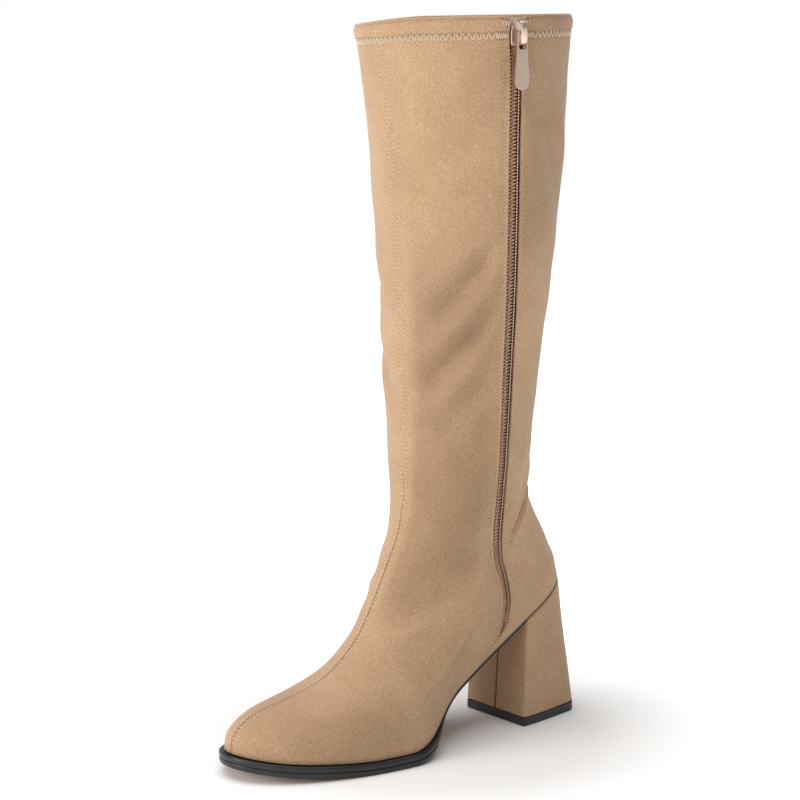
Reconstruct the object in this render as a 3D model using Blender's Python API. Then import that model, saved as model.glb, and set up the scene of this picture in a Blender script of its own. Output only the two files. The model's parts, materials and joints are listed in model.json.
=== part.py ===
"""Right knee-high boot: suede upper, flared block heel, zip on the inner side.

Metres. X points forward to the toe, Y to the inner side of this right boot and
Z up. The origin is on the floor under the heel, on the boot's long middle line.
Stations along the foot are shares of FOOT_LENGTH, counted from the heel's back.
"""
import math

import bmesh
import bpy
import numpy as np
from mathutils import Matrix, Vector

# Foot
FOOT_LENGTH = 0.232
ORIGIN_FROM_BACK = 0.0183
HEEL_HEIGHT = 0.0840
HEEL_WIDTH = 0.0578
BALL_WIDTH = 0.0886
TOE_SPRING = 0.0075

# Shaft
ANKLE_FRONT_HEIGHT = 0.1506
ANKLE_BACK_HEIGHT = 0.1783
ANKLE_DEPTH = 0.0845
ANKLE_WIDTH = 0.0805
ANKLE_CENTRE = 0.0700
COLLAR_FRONT_HEIGHT = 0.4110
COLLAR_BACK_HEIGHT = 0.4138
COLLAR_DIP = 0.0036
COLLAR_DEPTH = 0.1220
COLLAR_WIDTH = 0.1235
COLLAR_CENTRE = 0.0691

# Walls and clearances
WALL = 0.0020
BAND_HEIGHT = 0.0078
BAND_STEP = 0.0006
RIM_ROUND = 0.4
GAP = 0.0003
SEAT_GAP = 0.0005
TAPE_GAP = 0.0005
SLIDER_GAP = 0.0008
INSOLE_THICKNESS = 0.0030
INSOLE_CLEARANCE = 0.0018
INSOLE_WALL_READ = 1.5

# Sole
SOLE_THICKNESS = 0.0070
SOLE_MARGIN = 0.0030

# Heel
TOP_PIECE_LENGTH = 0.0530
TOP_PIECE_WIDTH = 0.0530
TOP_PIECE_BACK_WIDTH = 0.0330
TOP_PIECE_THICKNESS = 0.0052
TOP_PIECE_ROUND = 0.0090
BREAST_AT_FLOOR = 0.0421
BREAST_AT_SEAT = 0.0386
SIDE_TAPER_POWER = 1.3

# Zip
SLOT_WIDTH = 0.0070
SLOT_MOUTH = 0.0090
SLOT_END_WIDTH = 0.0024
SLOT_END_GAP = 0.0012
CHAIN_WIDTH = 0.0058
CHAIN_THICKNESS = 0.0018
CHAIN_CLEARANCE = 0.0005
TAPE_WIDTH = 0.0260
TAPE_THICKNESS = 0.0007
TAPE_BELOW_COLLAR = 0.0010
SLIDER_LENGTH = 0.0145
SLIDER_WIDTH = 0.0084
SLIDER_PLATE = 0.0013
SLIDER_BELOW_COLLAR = 0.0076
POST_WIDTH = 0.0022
POST_LENGTH = 0.0030
POST_SETBACK = 0.0004
BAIL_WIDTH = 0.0034
BAIL_THICKNESS = 0.0013
BAIL_HEIGHT = 0.0070
BAIL_LENGTH = 0.0142
BAIL_ROOT = 0.3
BAIL_SQUARE = 0.6
TAB_LENGTH = 0.0315
TAB_WIDTH = 0.0086
TAB_NECK_WIDTH = 0.0066
TAB_THICKNESS = 0.0014
TAB_BAR = 0.0014
TAB_WINDOW_LENGTH = 0.0084
TAB_SIDE_CLEARANCE = 0.0005

# Mesh fineness
UPPER_ROWS = 34
INNER_SIDE_COLUMNS = 16
OUTER_SIDE_COLUMNS = 36
CROSS_BARS = 40
HEEL_BARS = 16
BAIL_STEPS = 14
TAB_TIP_STEPS = 6
ROW_CROWDING = 1.25
RING_SAMPLES = 241
MERGE_DISTANCE = 1e-6

# Height of the foot's line: share of the heel's rise and of the toe spring
PROFILE_COLUMNS = ("station", "rise", "spring")
PROFILE = (
    (0.00, 1.000, 0.00),
    (0.03, 0.984, 0.00),
    (0.07, 0.923, 0.00),
    (0.13, 0.815, 0.00),
    (0.20, 0.683, 0.00),
    (0.32, 0.457, 0.00),
    (0.45, 0.196, 0.00),
    (0.53, 0.053, 0.00),
    (0.60, 0.000, 0.00),
    (0.70, 0.000, 0.00),
    (0.80, 0.000, 0.19),
    (0.90, 0.000, 0.47),
    (1.00, 0.000, 1.00),
)

# Rings of the lower part. Front and back are shares of FOOT_LENGTH, the rises
# are shares of the way up to the ankle, sag follows the foot's line, heel is a
# share of HEEL_WIDTH, and waist, ball, toe and bend are shares of BALL_WIDTH.
FOOT_COLUMNS = (
    "front", "back", "front_rise", "back_rise", "sag",
    "heel", "waist", "ball", "toe", "bend", "back_round", "front_round",
)
FOOT_SECTIONS = (
    (1.000, 0.000, 0.000, 0.000, 1.00, 0.845, 0.56, 0.985, 0.965, 0.000, 0.13, 0.41),
    (0.998, 0.010, 0.056, 0.065, 0.95, 0.922, 0.61, 0.913, 0.890, 0.009, 0.14, 0.38),
    (0.946, 0.020, 0.139, 0.150, 0.85, 0.973, 0.66, 0.834, 0.796, 0.019, 0.16, 0.40),
    (0.845, 0.038, 0.181, 0.243, 0.70, 0.982, 0.70, 0.754, 0.693, 0.020, 0.19, 0.42),
    (0.741, 0.066, 0.231, 0.370, 0.50, 0.970, 0.72, 0.701, 0.628, 0.020, 0.23, 0.44),
    (0.641, 0.095, 0.358, 0.509, 0.30, 0.970, 0.74, 0.686, 0.610, 0.018, 0.28, 0.46),
    (0.543, 0.113, 0.641, 0.648, 0.15, 1.034, 0.78, 0.704, 0.640, 0.015, 0.36, 0.50),
    (0.499, 0.117, 0.813, 0.819, 0.05, 1.186, 0.83, 0.789, 0.762, 0.013, 0.45, 0.50),
)

# The outer side is fuller at the waist and its ball lies further back
HEEL_STATION = 0.20
WAIST_STATION = {"inner": 0.38, "outer": 0.34}
BALL_STATION = {"inner": 0.585, "outer": 0.550}
OUTER_WAIST_SHARE = 0.11
BEND_START = 0.45

# Where the collar drops: angle of its lowest place, reach to either side, in degrees
DIP_MIDDLE = 320.0
DIP_REACH = 68.0
DIP_POWER = 1.4

# Rings of the shaft: shares of the way from the ankle's sizes to the collar's,
# and of COLLAR_DIP, by which the collar drops over the outer side of the front seam
SHAFT_COLUMNS = ("rise", "depth", "width", "centre", "bend", "dip")
SHAFT_SECTIONS = (
    (0.000, 0.000, 0.000, 0.0, 0.008, 0.0),
    (0.150, 0.030, 0.255, 1.1, 0.000, 0.0),
    (0.345, 0.210, 0.479, 3.3, 0.000, 0.0),
    (0.575, 0.507, 0.665, 4.4, 0.000, 0.0),
    (0.805, 0.731, 0.830, 3.4, 0.000, 0.0),
    (1.000, 1.000, 1.000, 1.0, 0.000, 1.0),
)

# The zip's line over the upper: angle in degrees from the front seam
ZIP_COLUMNS = ("travel", "angle")
ZIP_LINE = (
    (0.000, 119.0),
    (0.025, 120.3),
    (0.050, 120.1),
    (0.080, 119.0),
    (0.110, 117.5),
    (0.158, 113.4),
    (0.216, 104.4),
    (0.250, 99.8),
    (0.318, 93.2),
    (0.438, 85.8),
    (0.570, 81.2),
    (0.700, 79.2),
    (0.850, 78.3),
    (1.000, 78.6),
)
SLOT_COLUMNS = ("travel", "opening", "mouth")
SLOT_OPENING = (
    (0.016, 0.00, 0.0),
    (0.040, 1.00, 0.0),
    (0.935, 1.00, 0.0),
    (0.960, 1.00, 1.0),
    (1.000, 1.00, 1.0),
)

# Sole: thickness as a share of SOLE_THICKNESS, margin as a share of SOLE_MARGIN
SOLE_COLUMNS = ("station", "thickness", "margin")
SOLE_SECTIONS = (
    (0.16, 0.22, 0.10),
    (0.40, 0.24, 0.10),
    (0.45, 0.29, 0.14),
    (0.49, 0.72, 0.55),
    (0.53, 0.95, 0.90),
    (0.57, 1.00, 1.00),
    (1.00, 1.00, 1.00),
)
# Side of the sole from top to bottom: share of the margin, share of the drop
SOLE_EDGE = (
    (0.82, 0.00),
    (1.00, 0.10),
    (1.00, 0.42),
    (0.72, 0.47),
    (0.72, 0.53),
    (0.94, 0.58),
    (0.94, 0.93),
    (0.82, 1.00),
)

# Shapes of the slider's plates and the pull tab, as shares of their half sizes
TAB_SHOULDERS = (0.25, 0.50, 0.75, 1.00)
PLATE_FLANK = 0.45
PLATE_CORNERS = {"low": -0.55, "high": 0.60}
FLANGE_ENDS = {"low": -0.50, "high": 0.55}
TAB_HANG = 0.75
TAB_HEAD = 0.6

# Layers of the heel block from its seat to the top piece, as shares of its height
HEEL_LAYERS = (1.0, 0.8, 0.55, 0.3, 0.1, 0.0)

# Sizes that follow from those above
TOE_HEIGHT = SOLE_THICKNESS + TOE_SPRING
HEEL_RISE = HEEL_HEIGHT - SOLE_THICKNESS

# Base colour, roughness and metallic share of each stuff
MATERIALS = {
    "suede": ((0.50, 0.33, 0.19, 1.0), 0.95, 0.0),
    "insole_cloth": ((0.42, 0.31, 0.21, 1.0), 0.90, 0.0),
    "black_rubber": ((0.012, 0.012, 0.014, 1.0), 0.35, 0.0),
    "zip_brown": ((0.10, 0.055, 0.035, 1.0), 0.60, 0.0),
    "rose_metal": ((0.80, 0.60, 0.48, 1.0), 0.28, 1.0),
}


def monotone(stations, values, at):
    """Smooth monotone curve through a table's columns, read at some stations."""
    x = np.asarray(stations, float)
    y = np.asarray(values, float).reshape(len(x), -1)
    at = np.clip(np.atleast_1d(np.asarray(at, float)), x[0], x[-1])
    step = np.diff(x)[:, None]
    slope = np.diff(y, axis=0) / step
    before, after = slope[:-1], slope[1:]
    w_before = 2 * step[1:] + step[:-1]
    w_after = step[1:] + 2 * step[:-1]
    rising = before * after > 0
    divisor = np.where(rising, w_before * after + w_after * before, 1.0)
    inner = np.where(rising, (w_before + w_after) * before * after / divisor, 0.0)
    ends = [end_slope(step[0], step[1], slope[0], slope[1]),
            end_slope(step[-1], step[-2], slope[-1], slope[-2])]
    tangent = np.vstack([ends[0], inner, ends[1]])
    k = np.clip(np.searchsorted(x, at, side="right") - 1, 0, len(x) - 2)
    h = step[k]
    t = (at[:, None] - x[k][:, None]) / h
    return (
        y[k] * (1 + 2 * t) * (1 - t) ** 2
        + tangent[k] * h * t * (1 - t) ** 2
        + y[k + 1] * t ** 2 * (3 - 2 * t)
        + tangent[k + 1] * h * t ** 2 * (t - 1)
    )


def end_slope(near_step, far_step, near, far):
    """Three-point slope at the end of a table, kept from overshooting."""
    slope = ((2 * near_step + far_step) * near - near_step * far) / (near_step + far_step)
    slope = np.where(slope * near <= 0, 0.0, slope)
    steep = (near * far <= 0) & (np.abs(slope) > 3 * np.abs(near))
    return np.where(steep, 3 * near, slope)


def read(table, columns, at, *names):
    """Named columns of a table, read at places along its first column."""
    rows = np.array(table)
    values = monotone(rows[:, 0], rows, at)
    return [values[:, columns.index(name)] for name in names]


def foot_height(station):
    """Height of the upper's lower edge over the floor at a station."""
    rise, spring = read(PROFILE, PROFILE_COLUMNS, station, "rise", "spring")
    return SOLE_THICKNESS + rise * HEEL_RISE + spring * TOE_SPRING


def section_rows():
    """Every ring of the upper as real sizes, with its share of the way up."""
    rows = []
    ball, heel = 0.5 * BALL_WIDTH, 0.5 * HEEL_WIDTH
    for row in FOOT_SECTIONS:
        s = dict(zip(FOOT_COLUMNS, row))
        rows.append((
            s["front"] * FOOT_LENGTH, TOE_HEIGHT + s["front_rise"] * (ANKLE_FRONT_HEIGHT - TOE_HEIGHT),
            s["back"] * FOOT_LENGTH, HEEL_HEIGHT + s["back_rise"] * (ANKLE_BACK_HEIGHT - HEEL_HEIGHT),
            s["sag"], s["heel"] * heel, s["waist"] * ball, s["ball"] * ball, s["toe"] * ball,
            s["bend"] * BALL_WIDTH, s["back_round"], s["front_round"], 0.0,
        ))
    for row in SHAFT_SECTIONS:
        s = dict(zip(SHAFT_COLUMNS, row))
        depth = ANKLE_DEPTH + s["depth"] * (COLLAR_DEPTH - ANKLE_DEPTH)
        half = 0.5 * (ANKLE_WIDTH + s["width"] * (COLLAR_WIDTH - ANKLE_WIDTH))
        centre = ANKLE_CENTRE + s["centre"] * (COLLAR_CENTRE - ANKLE_CENTRE)
        front = ANKLE_FRONT_HEIGHT + s["rise"] * (COLLAR_FRONT_HEIGHT - ANKLE_FRONT_HEIGHT)
        back = ANKLE_BACK_HEIGHT + s["rise"] * (COLLAR_BACK_HEIGHT - ANKLE_BACK_HEIGHT)
        rows.append((
            centre + 0.5 * depth, front, centre - 0.5 * depth, back,
            0.0, half, half, half, half, s["bend"] * BALL_WIDTH, 0.5, 0.5, s["dip"] * COLLAR_DIP,
        ))
    rows = np.array(rows)
    front_way = np.hypot(np.diff(rows[:, 0]), np.diff(rows[:, 1]))
    back_way = np.hypot(np.diff(rows[:, 2]), np.diff(rows[:, 3]))
    way = np.concatenate([[0.0], np.cumsum(0.5 * (front_way + back_way))])
    return way / way[-1], rows, way[-1]


TRAVELS, SECTIONS, WAY_UP = section_rows()


def round_end(share):
    """Quarter-round outline of a ring's end: 0 at its tip, 1 where it is straight."""
    return np.sqrt(np.maximum(1 - (1 - np.clip(share, 0, 1)) ** 2, 0))


def ring(travel, angles):
    """Outer face of the upper: travel 0 at the sole to 1 at the collar, angle 0 in front."""
    row = monotone(TRAVELS, SECTIONS, travel)[0]
    (front_x, front_z, back_x, back_z, sag, heel, waist, ball, toe, bend, back_round, front_round,
     collar_dip) = row
    share = 0.5 * (1 + np.cos(angles))
    inner_side = np.sin(angles) >= 0
    fade = np.clip(sag, 0, 1)
    inner = monotone((0, HEEL_STATION, WAIST_STATION["inner"], BALL_STATION["inner"], 1),
                     (heel, heel, waist, ball, toe), share)[:, 0]
    fuller = waist + fade * OUTER_WAIST_SHARE * 0.5 * BALL_WIDTH
    outer = monotone((0, HEEL_STATION, WAIST_STATION["outer"], BALL_STATION["outer"], 1),
                     (heel, heel, fuller, ball, toe), share)[:, 0]
    ends = round_end(share / back_round) * round_end((1 - share) / front_round)
    half = np.where(inner_side, inner, -outer) * ends
    below_line = foot_height(share) - (HEEL_HEIGHT + (TOE_HEIGHT - HEEL_HEIGHT) * share)
    x = back_x + (front_x - back_x) * share - ORIGIN_FROM_BACK
    y = half + bend * np.clip((share - BEND_START) / (1 - BEND_START), 0, 1) ** 2
    z = back_z + (front_z - back_z) * share + sag * below_line
    from_dip = (angles - math.radians(DIP_MIDDLE) + math.pi) % (2 * math.pi) - math.pi
    reached = np.clip(from_dip / math.radians(DIP_REACH), -1, 1)
    z -= collar_dip * np.abs(np.cos(0.5 * math.pi * reached)) ** DIP_POWER
    return np.stack([x, y, z], axis=-1)


def outward(travel, angles):
    """Outward unit normals of the upper's outer face."""
    turn, climb = 0.004, 0.002
    low, high = max(travel - climb, 0.0), min(travel + climb, 1.0)
    around = ring(travel, angles + turn) - ring(travel, angles - turn)
    along = ring(high, angles) - ring(low, angles)
    normal = np.cross(around, along)
    return normal / np.linalg.norm(normal, axis=1)[:, None]


def sunk(travel, angles, depth):
    """Points of the upper moved in from its outer face by a depth."""
    return ring(travel, angles) - outward(travel, angles) * np.reshape(depth, (-1, 1))


def zip_angle(travel):
    """Angle of the zip's middle at a share of the way up."""
    return math.radians(read(ZIP_LINE, ZIP_COLUMNS, travel, "angle")[0][0])


def slot_half_width(travel):
    """Half the width of the zip's slot at a share of the way up."""
    opening, mouth = read(SLOT_OPENING, SLOT_COLUMNS, travel, "opening", "mouth")
    width = SLOT_END_WIDTH + opening * (SLOT_WIDTH - SLOT_END_WIDTH) + mouth * (SLOT_MOUTH - SLOT_WIDTH)
    return 0.5 * width[0]


def beside_zip(travel, distances):
    """Angles that lie at given distances round the leg from the zip's middle."""
    middle, turn = zip_angle(travel), 0.02
    pair = ring(travel, np.array([middle - turn, middle + turn]))
    per_radian = np.linalg.norm(pair[1] - pair[0]) / (2 * turn)
    return middle + np.asarray(distances, float) / per_radian


def spread(travel, start, end, count):
    """Angles from start to end, half by angle and half by length along the ring."""
    samples = np.linspace(start, end, RING_SAMPLES)
    points = ring(travel, samples)
    way = np.concatenate([[0.0], np.cumsum(np.linalg.norm(np.diff(points, axis=0), axis=1))])
    measure = 0.5 * way / way[-1] + 0.5 * np.linspace(0, 1, RING_SAMPLES)
    return np.interp(np.linspace(0, 1, count), measure, samples)


def column_angles(travel):
    """Angles of the upper's columns: two of them run along the slot's edges."""
    half = slot_half_width(travel)
    front_edge, back_edge = beside_zip(travel, (-half, half))
    inner_side = spread(travel, 0.0, front_edge, INNER_SIDE_COLUMNS)
    rest = spread(travel, back_edge, 2 * math.pi, OUTER_SIDE_COLUMNS)[:-1]
    return np.concatenate([inner_side, rest])


def upper_travels():
    """Rows of the upper, crowded at the foot, with two for the band's step."""
    rows = np.linspace(0, 1, UPPER_ROWS) ** ROW_CROWDING
    slot_start = SLOT_OPENING[0][0]
    start = max(1, int(np.argmin(np.abs(rows - slot_start))))
    rows[start] = slot_start
    band = 1 - BAND_HEIGHT / WAY_UP
    step = band - BAND_STEP / WAY_UP
    return np.concatenate([rows[rows < step - BAND_HEIGHT / (2 * WAY_UP)], [step, band, 1.0]]), start


def material(name):
    """Principled material of one of the boot's stuffs."""
    colour, roughness, metallic = MATERIALS[name]
    made = bpy.data.materials.get(name) or bpy.data.materials.new(name)
    made.use_nodes = True
    shader = made.node_tree.nodes["Principled BSDF"]
    shader.inputs["Base Color"].default_value = colour
    shader.inputs["Roughness"].default_value = roughness
    shader.inputs["Metallic"].default_value = metallic
    made.diffuse_color = colour
    return made


def solid(name, points, faces, stuff, sharp=40.0):
    """Closed object from points and faces, its faces turned outwards."""
    mesh = bpy.data.meshes.new(name)
    shape = bmesh.new()
    corners = [shape.verts.new(p) for p in points]
    for face in faces:
        shape.faces.new([corners[i] for i in face])
    bmesh.ops.remove_doubles(shape, verts=shape.verts, dist=MERGE_DISTANCE)
    bmesh.ops.triangulate(shape, faces=shape.faces)
    bmesh.ops.recalc_face_normals(shape, faces=shape.faces)
    shape.to_mesh(mesh)
    shape.free()
    mesh.shade_smooth()
    mesh.set_sharp_from_angle(angle=math.radians(sharp))
    mesh.materials.append(material(stuff))
    made = bpy.data.objects.new(name, mesh)
    bpy.context.scene.collection.objects.link(made)
    return made


def upper():
    """Hollow upper: wall, turned-over band at the collar, slot for the zip."""
    travels, start = upper_travels()
    outer, inner = [], []
    for travel in travels:
        angles = column_angles(travel)
        raised = BAND_STEP if travel in travels[-2:] else 0.0
        face = sunk(travel, angles, -raised)
        lining = sunk(travel, angles, WALL)
        if travel == 0.0:
            lining[:, 2] = foot_height(0.5 * (1 + np.cos(angles)))
        outer.append(face)
        inner.append(lining)
    rim = 0.5 * (outer[-1] + inner[-1])
    rim[:, 2] += RIM_ROUND * (WALL + BAND_STEP)
    layers = outer + [rim] + inner[::-1]
    count, slot = len(outer[0]), INNER_SIDE_COLUMNS - 1
    top = len(travels)
    total = len(layers)
    points = np.concatenate(layers)

    def at(layer, column):
        return (layer % total) * count + column % count

    faces = []
    for layer in range(total):
        open_here = start <= layer < total - 1 - start
        for column in range(count):
            if open_here and column == slot:
                continue
            faces.append((at(layer, column), at(layer, column + 1),
                          at(layer + 1, column + 1), at(layer + 1, column)))
    for row in range(start, top - 1):
        mirror = total - 1 - row
        edge, turned = slot, slot + 1
        faces.append((at(row, edge), at(row + 1, edge), at(mirror - 1, edge), at(mirror, edge)))
        faces.append((at(row, turned), at(mirror, turned), at(mirror - 1, turned), at(row + 1, turned)))
    for column in (slot, slot + 1):
        faces.append((at(top - 1, column), at(top, column), at(top + 1, column)))
    foot = total - 1 - start
    faces.append((at(start, slot), at(foot, slot), at(foot, slot + 1), at(start, slot + 1)))
    return solid("upper", points, faces, "suede")


def ladder(name, layers, stuff, sharp=40.0):
    """Closed plate from layers, top to bottom, of an inner and an outer rail."""
    bars = len(layers[0][0])
    loops = [np.vstack([inner, outer[::-1]]) for inner, outer in layers]
    points = np.concatenate(loops)
    count = 2 * bars
    faces = []
    for layer in (0, len(layers) - 1):
        first = layer * count
        for bar in range(bars - 1):
            faces.append((first + bar, first + bar + 1, first + count - 2 - bar, first + count - 1 - bar))
    for layer in range(len(layers) - 1):
        first, below = layer * count, (layer + 1) * count
        for k in range(count):
            after = (k + 1) % count
            shut_above = points_meet(points, first + k, first + after)
            if shut_above and points_meet(points, below + k, below + after):
                continue
            faces.append((first + k, first + after, below + after, below + k))
    return solid(name, points, faces, stuff, sharp)


def points_meet(points, one, other):
    """Whether two points of a list lie in the same place."""
    return np.linalg.norm(points[one] - points[other]) < MERGE_DISTANCE


def bar_angles(first_station, last_station, bars):
    """Angles of a plate's cross-bars between two stations, from the front."""
    start = math.acos(2 * first_station - 1)
    end = math.acos(2 * last_station - 1)
    return spread(0.0, start, end, bars)


def grown(rail, margin):
    """Rail of an outline moved out in plan by a margin."""
    way = np.gradient(rail[:, :2], axis=0)
    side = np.stack([way[:, 1], -way[:, 0]], axis=-1)
    side /= np.linalg.norm(side, axis=1)[:, None]
    side *= np.sign(rail[len(rail) // 2, 1]) * np.sign(side[len(rail) // 2, 1])
    side[0] = (1.0, 0.0)
    made = rail.copy()
    made[:, :2] += side * margin[:, None]
    return made


def station_of(rail):
    """Stations of a rail's points along the foot."""
    return np.clip((rail[:, 0] + ORIGIN_FROM_BACK) / FOOT_LENGTH, 0, 1)


def outsole():
    """Sole from the toe to the heel's breast, with the beads of its edge."""
    breast = (BREAST_AT_SEAT + GAP) / FOOT_LENGTH
    angles = bar_angles(1.0, breast, CROSS_BARS)
    rails = [ring(0.0, angles), ring(0.0, -angles)]
    layers = []
    for out, drop in SOLE_EDGE:
        sides = []
        for rail in rails:
            thickness, margin = read(SOLE_SECTIONS, SOLE_COLUMNS, station_of(rail), "thickness", "margin")
            made = grown(rail, margin * SOLE_MARGIN * out)
            line = foot_height(station_of(rail))
            top = line - SEAT_GAP
            bottom = np.maximum(line - thickness * SOLE_THICKNESS, 0.0)
            made[:, 2] = top + (bottom - top) * drop
            made[-1, 0] = rail[-1, 0]
            sides.append(made)
        layers.append(sides)
    return ladder("outsole", layers, "black_rubber", 25.0)


def insole():
    """Footbed inside the wall, on the sole and the heel's seat."""
    angles = bar_angles(1.0, 0.0, CROSS_BARS)
    inset = WALL + INSOLE_CLEARANCE
    rise = INSOLE_WALL_READ * INSOLE_THICKNESS / WAY_UP
    low = [sunk(0.0, angles, inset), sunk(0.0, -angles, inset)]
    high = [sunk(rise, angles, inset), sunk(rise, -angles, inset)]
    for side, upper_side in zip(low, high):
        side[:, 2] = foot_height(station_of(side))
        upper_side[:, :2] = np.where(np.abs(upper_side[:, 1:2]) < np.abs(side[:, 1:2]),
                                     upper_side[:, :2], side[:, :2])
        upper_side[:, 2] = foot_height(station_of(upper_side)) + INSOLE_THICKNESS
    return ladder("insole", [high, low], "insole_cloth")


def heel_rails(share):
    """Plan of the heel: share 0 at the floor, 1 at the seat; breast first."""
    seat_half = ring(0.0, np.array([math.acos(2 * BREAST_AT_SEAT / FOOT_LENGTH - 1)]))[0, 1]
    seat_round = FOOT_SECTIONS[0][FOOT_COLUMNS.index("back_round")] * FOOT_LENGTH
    floor = (BREAST_AT_FLOOR, BREAST_AT_FLOOR - TOP_PIECE_LENGTH, 0.5 * TOP_PIECE_WIDTH,
             0.5 * TOP_PIECE_BACK_WIDTH, TOP_PIECE_ROUND)
    seat = (BREAST_AT_SEAT, 0.0, seat_half, seat_half, seat_round)
    breast, back, half, back_half, rounding = [low + share * (high - low) for low, high in zip(floor, seat)]
    way = np.sin(np.linspace(0, 0.5 * math.pi, HEEL_BARS))
    x = breast + (back - breast) * way
    y = (half + (back_half - half) * way ** SIDE_TAPER_POWER) * round_end((x - back) / rounding)
    flat = np.stack([x - ORIGIN_FROM_BACK, y, np.zeros(HEEL_BARS)], axis=-1)
    return flat, flat * (1, -1, 1)


def heel_block():
    """Flared block from its top piece up to the dished seat."""
    bottom = TOP_PIECE_THICKNESS + GAP
    layers = []
    for share in HEEL_LAYERS:
        pair = []
        for rail, seat in zip(heel_rails(share), heel_rails(1.0)):
            top = foot_height(station_of(seat)) - SEAT_GAP
            rail[:, 2] = bottom + share * (top - bottom)
            pair.append(rail)
        layers.append(pair)
    return ladder("heel_block", layers, "suede")


def heel_top_piece():
    """Wear piece under the heel, flat on the floor."""
    layers = []
    for height in (TOP_PIECE_THICKNESS, 0.0):
        pair = heel_rails(0.0)
        for rail in pair:
            rail[:, 2] = height
        layers.append(pair)
    return ladder("heel_top_piece", layers, "black_rubber")


def slider_travel():
    """Share of the way up at which the slider's bail holds the pull tab."""
    return 1 - SLIDER_BELOW_COLLAR / WAY_UP


def stringer(name, side):
    """One half of the zip: its tape behind the wall, its coil in the slot."""
    travels, start = upper_travels()
    first = travels[start] + SLOT_END_GAP / WAY_UP
    stations = [first] + [t for t in travels if t > first + SLOT_END_GAP / WAY_UP]
    stations[-1] = 1 - TAPE_BELOW_COLLAR / WAY_UP
    front = WALL + TAPE_GAP
    back = front + TAPE_THICKNESS
    fork = slider_travel() + (0.5 * SLIDER_LENGTH - POST_LENGTH - SLIDER_GAP) / WAY_UP
    stations = sorted(stations + [fork - SLIDER_GAP / WAY_UP, fork])
    loops = []
    for travel in stations:
        inside = 0.5 * GAP if travel < fork else 0.5 * POST_WIDTH + GAP
        coil = min(0.5 * CHAIN_WIDTH, slot_half_width(travel) - CHAIN_CLEARANCE)
        section = ((inside, front - CHAIN_THICKNESS), (coil, front - CHAIN_THICKNESS), (coil, front),
                   (0.5 * TAPE_WIDTH, front), (0.5 * TAPE_WIDTH, back), (inside, back))
        angles = beside_zip(travel, [side * across for across, _ in section])
        loops.append(sunk(travel, angles, [depth for _, depth in section]))
    points = np.concatenate(loops)
    count = len(loops[0])
    faces = [tuple(range(count)), tuple((len(loops) - 1) * count + k for k in range(count))]
    for layer in range(len(loops) - 1):
        for k in range(count):
            after = (k + 1) % count
            faces.append((layer * count + k, layer * count + after,
                          (layer + 1) * count + after, (layer + 1) * count + k))
    return solid(name, points, faces, "zip_brown")


def slider_frame():
    """Placement of the slider: X across to the front, Y outwards, Z up the zip."""
    travel = slider_travel()
    middle = np.array([zip_angle(travel)])
    place = Vector(ring(travel, middle)[0])
    out = Vector(outward(travel, middle)[0])
    below = travel - 0.01
    along = place - Vector(ring(below, np.array([zip_angle(below)]))[0])
    up = (along - along.dot(out) * out).normalized()
    across = out.cross(up)
    frame = Matrix((across, out, up)).transposed().to_4x4()
    frame.translation = place
    return frame


def prism(name, outline, low, high, axis, frame, stuff):
    """Outline drawn across one axis of a frame and drawn out along that axis.

    The mesh keeps the frame's own axes, so that a Boolean works alike wherever it stands.
    """
    order = {"X": (2, 0, 1), "Y": (0, 2, 1), "Z": (0, 1, 2)}[axis]
    points = []
    for level in (low, high):
        for a, b in outline:
            flat = (a, b, level)
            points.append([flat[i] for i in order])
    count = len(outline)
    faces = [tuple(range(count)), tuple(range(count, 2 * count))]
    for k in range(count):
        after = (k + 1) % count
        faces.append((k, after, count + after, count + k))
    made = solid(name, points, faces, stuff)
    made.matrix_world = frame
    return made


def box_outline(left, right, low, high):
    """Rectangle as an outline."""
    return [(left, low), (right, low), (right, high), (left, high)]


def joined(base, others, operation="UNION"):
    """Base with exact Booleans of helper shapes, which are hidden."""
    for helper in others:
        helper.hide_render = True
        helper.display_type = "WIRE"
        cut = base.modifiers.new(helper.name, "BOOLEAN")
        cut.operation = operation
        cut.solver = "EXACT"
        cut.object = helper
    return base


def bail_outline():
    """Side view of the bail: a band bent from the slider's foot to its head."""
    half = 0.5 * BAIL_LENGTH
    outer, inner = [], []
    for k in range(BAIL_STEPS + 1):
        turn = math.pi * k / BAIL_STEPS
        c = math.copysign(abs(math.cos(turn)) ** BAIL_SQUARE, math.cos(turn))
        s = math.sin(turn) ** BAIL_SQUARE
        outer.append((SLIDER_PLATE + BAIL_HEIGHT * s, half * c))
        inner.append((SLIDER_PLATE + (BAIL_HEIGHT - BAIL_THICKNESS) * s, (half - BAIL_THICKNESS) * c))
    root, inside = BAIL_ROOT * SLIDER_PLATE, half - BAIL_THICKNESS
    return [(root, half)] + outer + [(root, -half), (root, -inside)] + inner[::-1] + [(root, inside)]


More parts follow.
